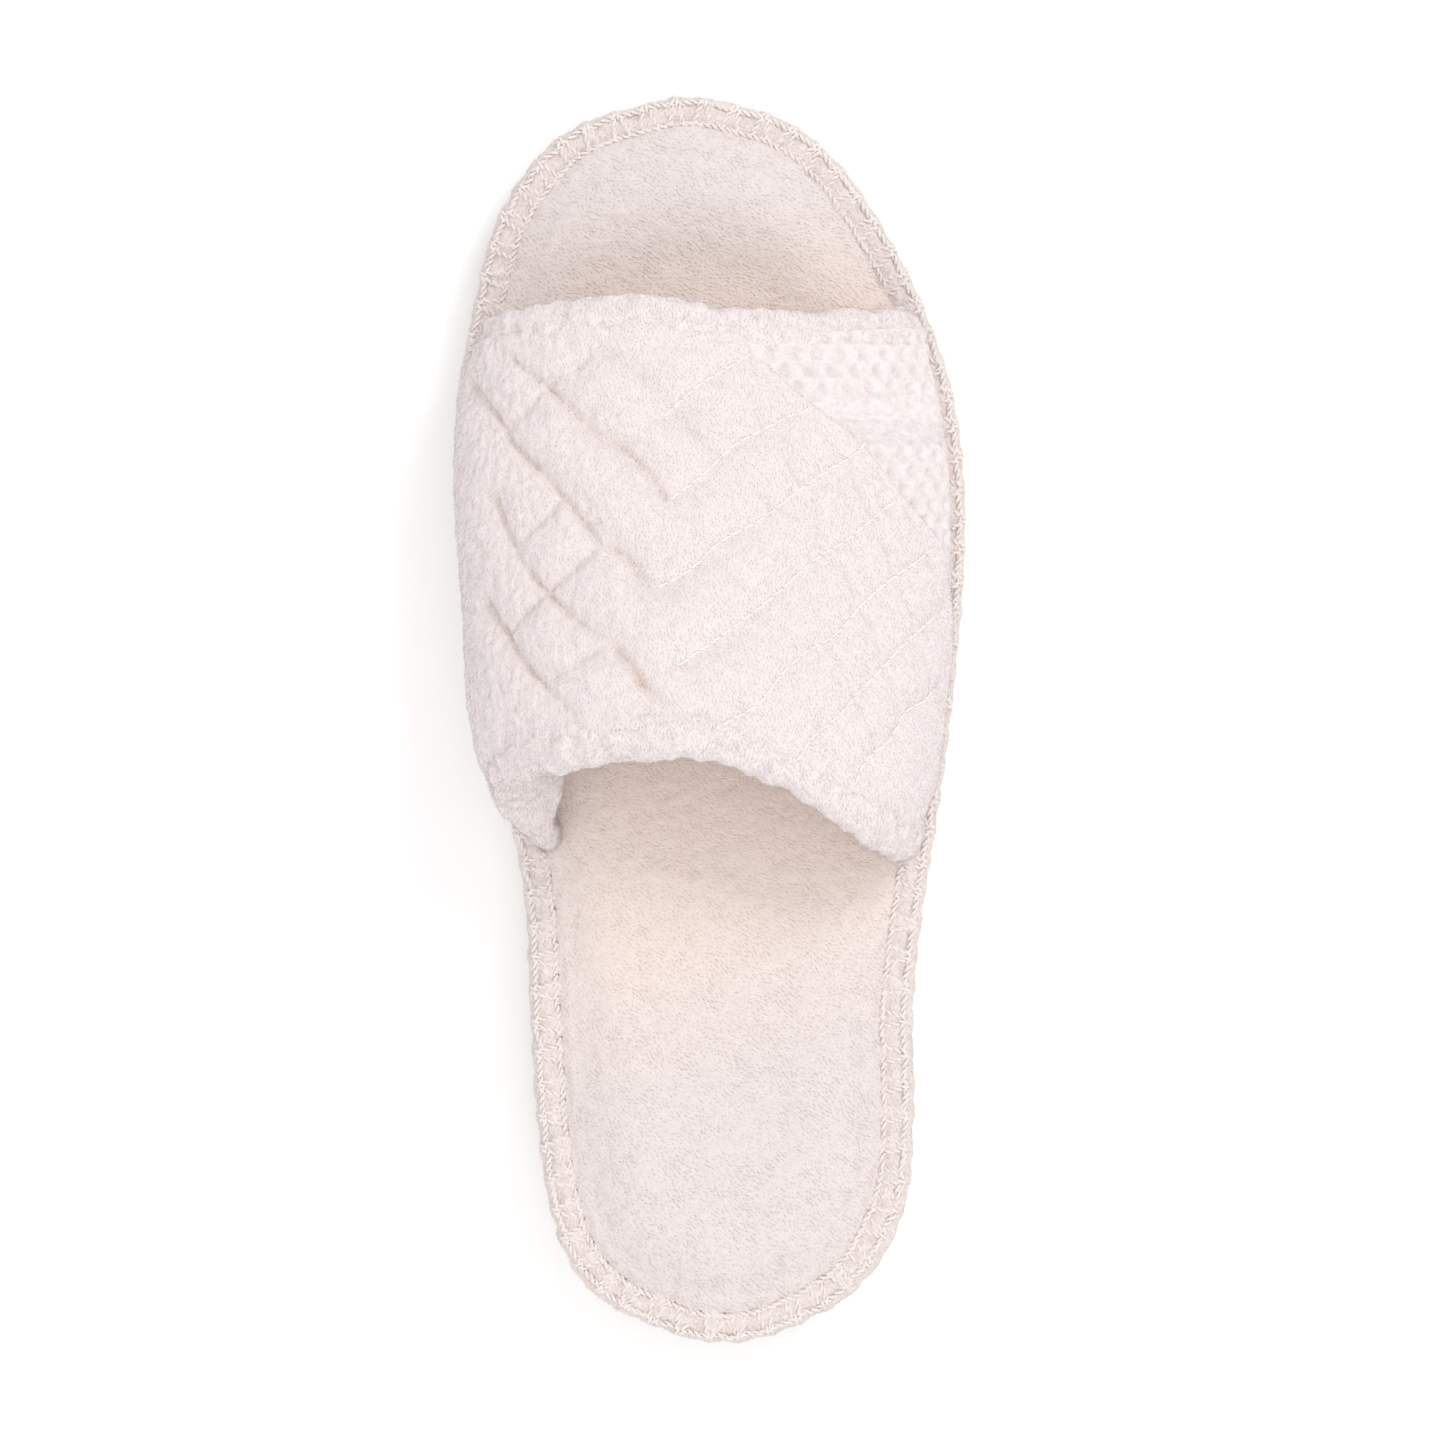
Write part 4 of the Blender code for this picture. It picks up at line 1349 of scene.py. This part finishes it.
# %% [markdown]
# A share of 1 inside the rib band or the floats, and 0 outside them, decides which of the
# three patterns a point follows.  The knit's edges fade out, dip into the seam and rise to
# meet the hem, as the quilted panel's do.
# %% Waffle-knit panel
CELL_WIDE = 5.4 * MM
CELL_LONG = 3.5 * MM
PIT_WIDTH = 1.0 * MM
PIT_DEPTH = 1.40 * MM
RIM_HEIGHT = 0.35 * MM
RIB_BAND = (57.0 * MM, 61.0 * MM)
RIB_PITCH = 1.0 * MM
RIB_HEIGHT = 0.15 * MM
FLOATS = (62.4 * MM, 64.8 * MM)
FLOATS_END = (66.0 * MM, 66.4 * MM)
FLOAT_HEIGHT = 0.7 * MM
FLOAT_WIDTH = 0.7 * MM
SOFT_END = 0.5 * MM
SEAM_HOLLOW = 0.5 * MM
SEAM_HOLLOW_WIDTH = 1.5 * MM
KNIT_FOOT_FADE = 0.06
KNIT_GRAIN = 0.08 * MM
KNIT_GRAIN_SIZE = 1.0 * MM
TO_HEM = 6.0 * MM
row = lengths / CELL_LONG
odd = np.mod(np.floor(row), 2.0)
in_row = np.mod(row, 1.0) - 0.5
in_cell = np.mod(across / CELL_WIDE + 0.5 * odd, 1.0) - 0.5
pit = bell(np.hypot(in_row * CELL_LONG, in_cell * CELL_WIDE), PIT_WIDTH)
rim = bell(0.5 - np.abs(in_row), 0.14) + 0.7 * bell(0.5 - np.abs(in_cell), 0.10)
waffle = RIM_HEIGHT * np.minimum(rim, 1.0) - PIT_DEPTH * pit
ribs = RIB_HEIGHT * np.cos(2.0 * np.pi * lengths / RIB_PITCH)
float_cell = np.mod(across / CELL_WIDE, 1.0) - 0.5
long_float = sum(bell(lengths - at, FLOAT_WIDTH) for at in FLOATS) * bell(float_cell, 0.28)
in_band = ramp(lengths, RIB_BAND[0] - SOFT_END, RIB_BAND[0])
in_band = in_band * ramp(lengths, RIB_BAND[1] + SOFT_END, RIB_BAND[1])
in_floats = ramp(lengths, RIB_BAND[1], RIB_BAND[1] + 0.4 * MM)
in_floats = in_floats * ramp(lengths, FLOATS_END[1], FLOATS_END[0])
relief = waffle * (1.0 - in_band) * (1.0 - in_floats) + ribs * in_band
relief += FLOAT_HEIGHT * long_float * in_floats
relief -= SEAM_HOLLOW * bell(start - lengths - LAP, SEAM_HOLLOW_WIDTH)
relief += KNIT_GRAIN * clumps(flat_waffle, KNIT_GRAIN_SIZE, 6.3).reshape(lengths.shape)
relief *= ramp(1.0 - turns, 0.0, KNIT_FOOT_FADE)[None]
relief += flare_at(turns)
relief += (HEM_PROUD + top_depth) * ease(ramp(start - lengths, LAP + TO_HEM, LAP))
waffle_points = flat_waffle + outwards * relief[..., None]
knit = pad("waffle_knit_corner", waffle_points, underside(turns, lengths), KNIT)
declare(knit, "waffle_knit", "waffle_panel")

# %% [markdown]
# Both openings end in a rolled hem of the same plush, thick and soft.  A hem is a tube
# swept along the opening.  Slow noise along it gives the small puckers of a seam that
# was eased in by hand.
# %% Form of the hems
HEM_TURNS = 401
HEM_POINTS = 40
HEM_SEEN = 30
COLLAR_LEG = table(
    "turn extra",
    (-1.00, 1.0), (-0.90, 5.0), (-0.80, 8.0), (-0.70, 9.0), (-0.60, 9.0), (-0.50, 7.5),
    (-0.45, 6.0), (-0.40, 3.5), (-0.36, 1.0), (-0.30, 0.0), (1.00, 0.0),
)
NO_LEG = table("turn extra", (-1.0, 0.0), (1.0, 0.0))


def hem_sheet(edge, rim, leg):
    """Points of a rolled hem: one closed ring for each turn, with a fatter inner leg."""
    closed = np.array([*HEM_SECTION, HEM_SECTION[0]])
    at = np.arange(HEM_POINTS) * len(HEM_SECTION) / HEM_POINTS
    out, down = (through(np.arange(len(closed)), closed[:, axis], at) for axis in (0, 1))
    turns = np.linspace(-1.0, 1.0, HEM_TURNS)
    y = edge(turns)[:, None] + (rim(turns) - edge(turns))[:, None] * out[None]
    fatter = MM * np.interp(turns, column(leg, "turn"), column(leg, "extra"))[:, None]
    full_depth = UPPER_INNER_DEPTH + 2.0 * HEM_PROUD + fatter
    return vamp_point(turns[:, None], y, full_depth * down[None] - HEM_PROUD)


print("a hem has", HEM_TURNS, "rings of", HEM_POINTS, "points")


# %% [markdown]
# Three sizes of noise ruffle each hem.  Its nap lies towards the opening, where the plush
# was folded over.  A few longer fibres stand off it and soften its outline.
# %% Hems
def hem_piece(name, edge, rim, leg, node, lean, seed):
    """A rolled hem with its nap, which leans towards its opening, and stray fibres."""
    points = hem_sheet(edge, rim, leg)
    index = numbered(*points.shape[:2])
    faces = quads(index, across=True) + [index[0].tolist(), index[-1].tolist()]
    piece = made_piece(name, points, faces, HEM_PLUSH_LIGHTENED)
    ruffle(piece, (9.0 * MM, 0.9 * MM), (3.6 * MM, 0.7 * MM), (1.7 * MM, 0.40 * MM))
    declare(piece, "hem_plush", node)
    shown = points_of(piece).reshape(points.shape)[:, :HEM_SEEN]
    napped(name + "_nap", sheet_bed(name + "_bed", shown), HEM_PLUSH_LIGHTENED, "hem_plush", node,
           0.62 * MM, (0.18 * MM, 1.4 * MM), (0.1, lean, 0.0), 3.0, lift=0.5, seed=seed)
    napped(name + "_fuzz", sheet_bed(name + "_bed", shown), HEM_PLUSH_LIGHTENED, "hem_plush", node,
           0.75 * MM, (0.11 * MM, 2.2 * MM), (0.0, 0.2, 0.3), 3.0, lift=0.9, seed=seed + 10)


def toe_edge(turn):
    return shell_front(turn) + HEM_GAP


def collar_edge(turn):
    return shell_back(turn) - HEM_GAP


hem_piece("toe_hem_roll", toe_edge, front_rim, NO_LEG, "toe_hem", 1.0, 31)
hem_piece("collar_hem_roll", collar_edge, collar_rim, COLLAR_LEG, "collar_hem", -1.0, 32)


# %% [markdown]
# The edge is whipped with two-ply cotton yarn: pairs of legs that meet near the outer
# edge, with a strand running along each of the two lines.  The path of each strand is
# a plain line of points.  A Geometry Nodes tree turns any such line into twisted yarn.
# %% Geometry Nodes: yarn
PLY_APART = 0.6


def yarn_tree():
    """Twists two plies along a path.  Lay is the length of one full turn of the twist."""
    tree, given = new_tree("yarn", {
        "Path": "Geometry", "Ply": "Float", "Lay": "Float", "Step": "Float", "Finish": "Material"})
    line = add(tree, "GeometryNodeMeshToCurve", {"Mesh": given["Path"]})[0]
    even = add(tree, "GeometryNodeResampleCurve", {
        "Curve": line, "Length": given["Step"]}, mode="LENGTH")[0]
    run = add(tree, "GeometryNodeSplineParameter")[1]
    turns = math_node(tree, "DIVIDE", run, given["Lay"])
    angle = math_node(tree, "MULTIPLY", turns, 2.0 * math.pi)
    tilted = add(tree, "GeometryNodeSetCurveTilt", {"Curve": even, "Tilt": angle})[0]
    circle = add(tree, "GeometryNodeCurvePrimitiveCircle", {
        "Resolution": 4, "Radius": given["Ply"]}, mode="RADIUS")[0]
    both = []
    for way in (-PLY_APART, PLY_APART):
        off = math_node(tree, "MULTIPLY", given["Ply"], way)
        offset = add(tree, "ShaderNodeCombineXYZ", {"X": off})[0]
        both.append(add(tree, "GeometryNodeTransform", {
            "Geometry": circle, "Translation": offset})[0])
    join = tree.nodes.new("GeometryNodeJoinGeometry")
    for ply in both:
        tree.links.new(ply, join.inputs[0])
    strand = add(tree, "GeometryNodeCurveToMesh", {
        "Curve": tilted, "Profile Curve": join.outputs[0], "Fill Caps": True})[0]
    close_tree(tree, strand, given["Finish"])
    return tree


YARN_TREE = yarn_tree()
print("yarn tree:", len(YARN_TREE.nodes), "nodes")


def yarn(name, paths, ply, lay, step, finish, slot, node):
    """Yarn along each of the given lines of points."""
    points = np.vstack(paths)
    ends = np.cumsum([len(path) for path in paths])
    links = [(k, k + 1) for k in range(len(points) - 1) if k + 1 not in ends]
    mesh = bpy.data.meshes.new(name + "_path")
    mesh.from_pydata(points.tolist(), links, [])
    path = placed(name + "_path", mesh)
    piece = grown(YARN_TREE, name, path, ply=ply, lay=lay, step=step, finish=finish)
    bpy.data.objects.remove(path)
    declare(piece, slot, node)
    return piece


# %% [markdown]
# A path round the edge is given by its distance from the heel along the outline and by
# its inset, and laid on top of the binding.
# %% Blanket stitch
PLY = 0.46 * MM
EDGE_XY = np.vstack([EDGE, EDGE[:1]])
INWARDS = np.vstack([inwards_of(EDGE), inwards_of(EDGE)[:1]])
RUN_KNOTS = np.linspace(0.0, EDGE_LENGTH, EDGE_POINTS + 1)
PLUMP_KNOTS = np.append(plumpness, plumpness[0])
COVERED = 1.0 * MM


def on_band(run, inset, rise):
    """Points on the binding at a run along the edge and an inset from it."""
    run = np.mod(run, EDGE_LENGTH)
    base = np.column_stack([np.interp(run, RUN_KNOTS, EDGE_XY[:, k]) for k in (0, 1)])
    inward = np.column_stack([np.interp(run, RUN_KNOTS, INWARDS[:, k]) for k in (0, 1)])
    flat = base + inward * np.reshape(inset, (-1, 1))
    plump = np.interp(run, RUN_KNOTS, PLUMP_KNOTS)
    over = ramp(inset + plump, BAND_INSET, BAND_INSET + BAND_ROUND)
    drop = BAND_ROUND * (1.0 - np.sqrt(np.maximum(1.0 - (1.0 - over) ** 2, 0.0)))
    return np.column_stack([flat, band_top(flat[:, 1]) - drop + rise])


def under_upper(run):
    """Whether the upper's foot covers the band at this run along the edge."""
    x, y = on_band(np.array([run]), 0.0, 0.0)[0, :2]
    side = 1.0 if x > 0.0 else -1.0
    back, front = collar_rim(np.array([side]))[0], front_rim(np.array([side]))[0]
    return back - COVERED < y < front + COVERED


print("stitches under the upper:", sum(under_upper(k * STITCH) for k in range(STITCHES)))

# %% [markdown]
# Hands pull no two stitches alike, so each leg gets a small random shift.  Where the foot
# of the upper lies on the band, the legs are short and the inner strand is hidden.
# %% Legs and strands of the blanket stitch
LEG_STEPS = 9
LEG_RISE = 0.25 * MM
FOOT_SPREAD = 1.2 * MM
SHORT_LEG = 1.4 * MM
STRAND_STEPS = 8
STRAND_RISE = 0.14 * MM
STRAND_SINK = 0.06 * MM
STRANDS = ((OUTER_RUN, 0.45), (INNER_RUN, 0.25))
rng = np.random.default_rng(7)
paths = []
t = np.linspace(0.0, 1.0, LEG_STEPS)
for number in range(STITCHES):
    middle = (number + 0.5) * STITCH + rng.uniform(-0.35, 0.35) * MM
    apex = OUTER_RUN - 0.9 * MM + rng.uniform(-0.3, 0.3) * MM
    foot = INNER_RUN + rng.uniform(-0.2, 0.2) * MM
    if under_upper(middle):
        foot = OUTER_RUN + SHORT_LEG
    for way in (-1.0, 1.0):
        run = middle + way * (0.25 * MM + (FOOT_SPREAD + rng.uniform(0.0, 0.5) * MM) * t**0.8)
        paths.append(on_band(run, apex + (foot - apex) * t, LEG_RISE * np.sin(np.pi * t)))
t = np.linspace(0.0, 1.0, STRAND_STEPS)
for inset, sway in STRANDS:
    for number in range(STITCHES):
        run = np.linspace(number - 0.5, number + 0.5, STRAND_STEPS) * STITCH + 0.2 * MM
        if inset == INNER_RUN and (under_upper(run[0]) or under_upper(run[-1])):
            continue
        side_way = inset + sway * MM * np.sin(2.0 * np.pi * t) * rng.uniform(-1.0, 1.0)
        paths.append(on_band(run, side_way, STRAND_RISE * np.sin(np.pi * t) - STRAND_SINK))
edge_yarn = yarn("edge_stitch_yarn", paths, PLY, 3.2 * MM, 0.6 * MM, YARN, "binding_fabric",
                 "edge_binding")
napped("edge_stitch_fuzz", edge_yarn, YARN, "binding_fabric", "edge_binding", 0.70 * MM,
       (0.12 * MM, 1.0 * MM), (0.0, 0.0, 0.4), 4.0, lift=0.8, seed=51)

# %% [markdown]
# Quilting thread comes up between two holes and goes down again.  It is laid on the
# finished surface of the panel, along the lines whose crease is slight.
# %% Quilting thread
THREAD_PLY = 0.20 * MM
STITCH_LONG = 2.3 * MM
STITCH_GAP = 0.35 * MM
THREAD_STEPS = 6
HUMP = 0.22 * MM
THREAD_SINK = 0.05 * MM
hump = HUMP * np.sin(np.pi * np.linspace(0.1, 0.9, THREAD_STEPS)) - THREAD_SINK
surface_tree = search_tree(flat_quilt.reshape(-1, 3))
quilt_offset = (quilt_points - flat_quilt).reshape(-1, 3)
quilt_out = quilt_outwards.reshape(-1, 3)
stitch_paths = []
for line, path in zip(QUILT_LINES, quilt_paths):
    if line.crease > SLIGHT_CREASE:
        continue
    run = np.arange(len(path)) * LINE_STEP
    begin = 0.5 * STITCH_GAP
    while begin + STITCH_LONG < run[-1]:
        at = begin + np.linspace(0.0, STITCH_LONG, THREAD_STEPS)
        places = np.column_stack([np.interp(at, run, path[:, axis]) for axis in range(3)])
        nearest = [surface_tree.find(place)[1] for place in places.tolist()]
        stitch_paths.append(places + quilt_offset[nearest] + quilt_out[nearest] * hump[:, None])
        begin += STITCH_LONG + STITCH_GAP
print("quilting stitches:", len(stitch_paths))
yarn("quilting_thread", stitch_paths, THREAD_PLY, 1.6 * MM, 0.45 * MM, THREAD, "quilted_plush",
     "quilted_panel")

# %% [markdown]
# Where the needle went in along the inner line, a small hole stays in the pile.  Most of
# them are closed by it, and those on the inner side of the heel show.  Each shows as a small
# brown ball on the band: painted shade for the dark inside of the hole.
# %% Thread holes
HOLE_SIZE = 0.38 * MM
HOLE_INSET = INNER_RUN + 0.5 * MM
HOLE_UP = 0.15 * MM
hole_shape = bmesh.new()
for number in range(STITCHES):
    run = number * STITCH
    x, y, z = on_band(np.array([run]), HOLE_INSET, 0.0)[0]
    if under_upper(run) or x > 0.0 or y > 0.0:
        continue
    made = bmesh.ops.create_icosphere(hole_shape, subdivisions=1, radius=HOLE_SIZE)
    bmesh.ops.translate(hole_shape, verts=made["verts"], vec=(x, y, z + HOLE_UP))
hole_mesh = bpy.data.meshes.new("thread_holes")
hole_shape.to_mesh(hole_mesh)
hole_shape.free()
hole_mesh.materials.append(HOLE_SHADE)
declare(placed("thread_holes", hole_mesh), "binding_fabric", "edge_binding")

# %% [markdown]
# The slipper lies on white paper, which is matt and shows only the soft shadow.
# %% Floor
FLOOR_SIZE = 3.0
paper = bpy.data.materials.new("paper, matt white")
floor = made_piece("floor", [
    (-FLOOR_SIZE, -FLOOR_SIZE, 0.0), (FLOOR_SIZE, -FLOOR_SIZE, 0.0),
    (FLOOR_SIZE, FLOOR_SIZE, 0.0), (-FLOOR_SIZE, FLOOR_SIZE, 0.0)], [(0, 1, 2, 3)], paper)
paper.use_nodes = True
paper_shader = paper.node_tree.nodes["Principled BSDF"].inputs
paper_shader["Base Color"].default_value = linear("#FCFCFC")
paper_shader["Roughness"].default_value = 1.0
paper_shader["Specular IOR Level"].default_value = 0.0
if floor.data.polygons[0].normal.z < 0.0:
    floor.data.flip_normals()
print("floor", 2.0 * FLOOR_SIZE, "m square")

# %% [markdown]
# The light is an even sky, as in a light tent, and three lamps.  The key lamp stands at the
# upper right, beyond the toe, and leaves the inner flank in the faint shade that shows its
# nap.  A wide one hangs above the camera and a weaker wide one stands behind the heel.
# %% Light
SKY_STRENGTH = 0.77
SCENE.view_settings.view_transform = "Standard"
world = bpy.data.worlds.new("light tent")
SCENE.world = world
world.use_nodes = True
sky = world.node_tree.nodes["Background"].inputs
sky["Color"].default_value = (1.0, 1.0, 1.0, 1.0)
sky["Strength"].default_value = SKY_STRENGTH

LAMPS = table(
    "name spot size watts",
    ("key", (0.70, 0.80, 1.20), 0.6, 6.6),
    ("top", (0.05, 0.10, 1.80), 1.3, 5.0),
    ("back", (-0.05, -0.95, 1.00), 1.1, 4.0),
)
for setting in LAMPS:
    lamp = bpy.data.lights.new(setting.name, "AREA")
    lamp.shape = "DISK"
    lamp.size = setting.size
    lamp.energy = setting.watts
    light = placed(setting.name, lamp)
    light.location = setting.spot
    light.rotation_euler = (-light.location).to_track_quat("-Z", "Y").to_euler()
print("lamps:", {setting.name: setting.watts for setting in LAMPS})
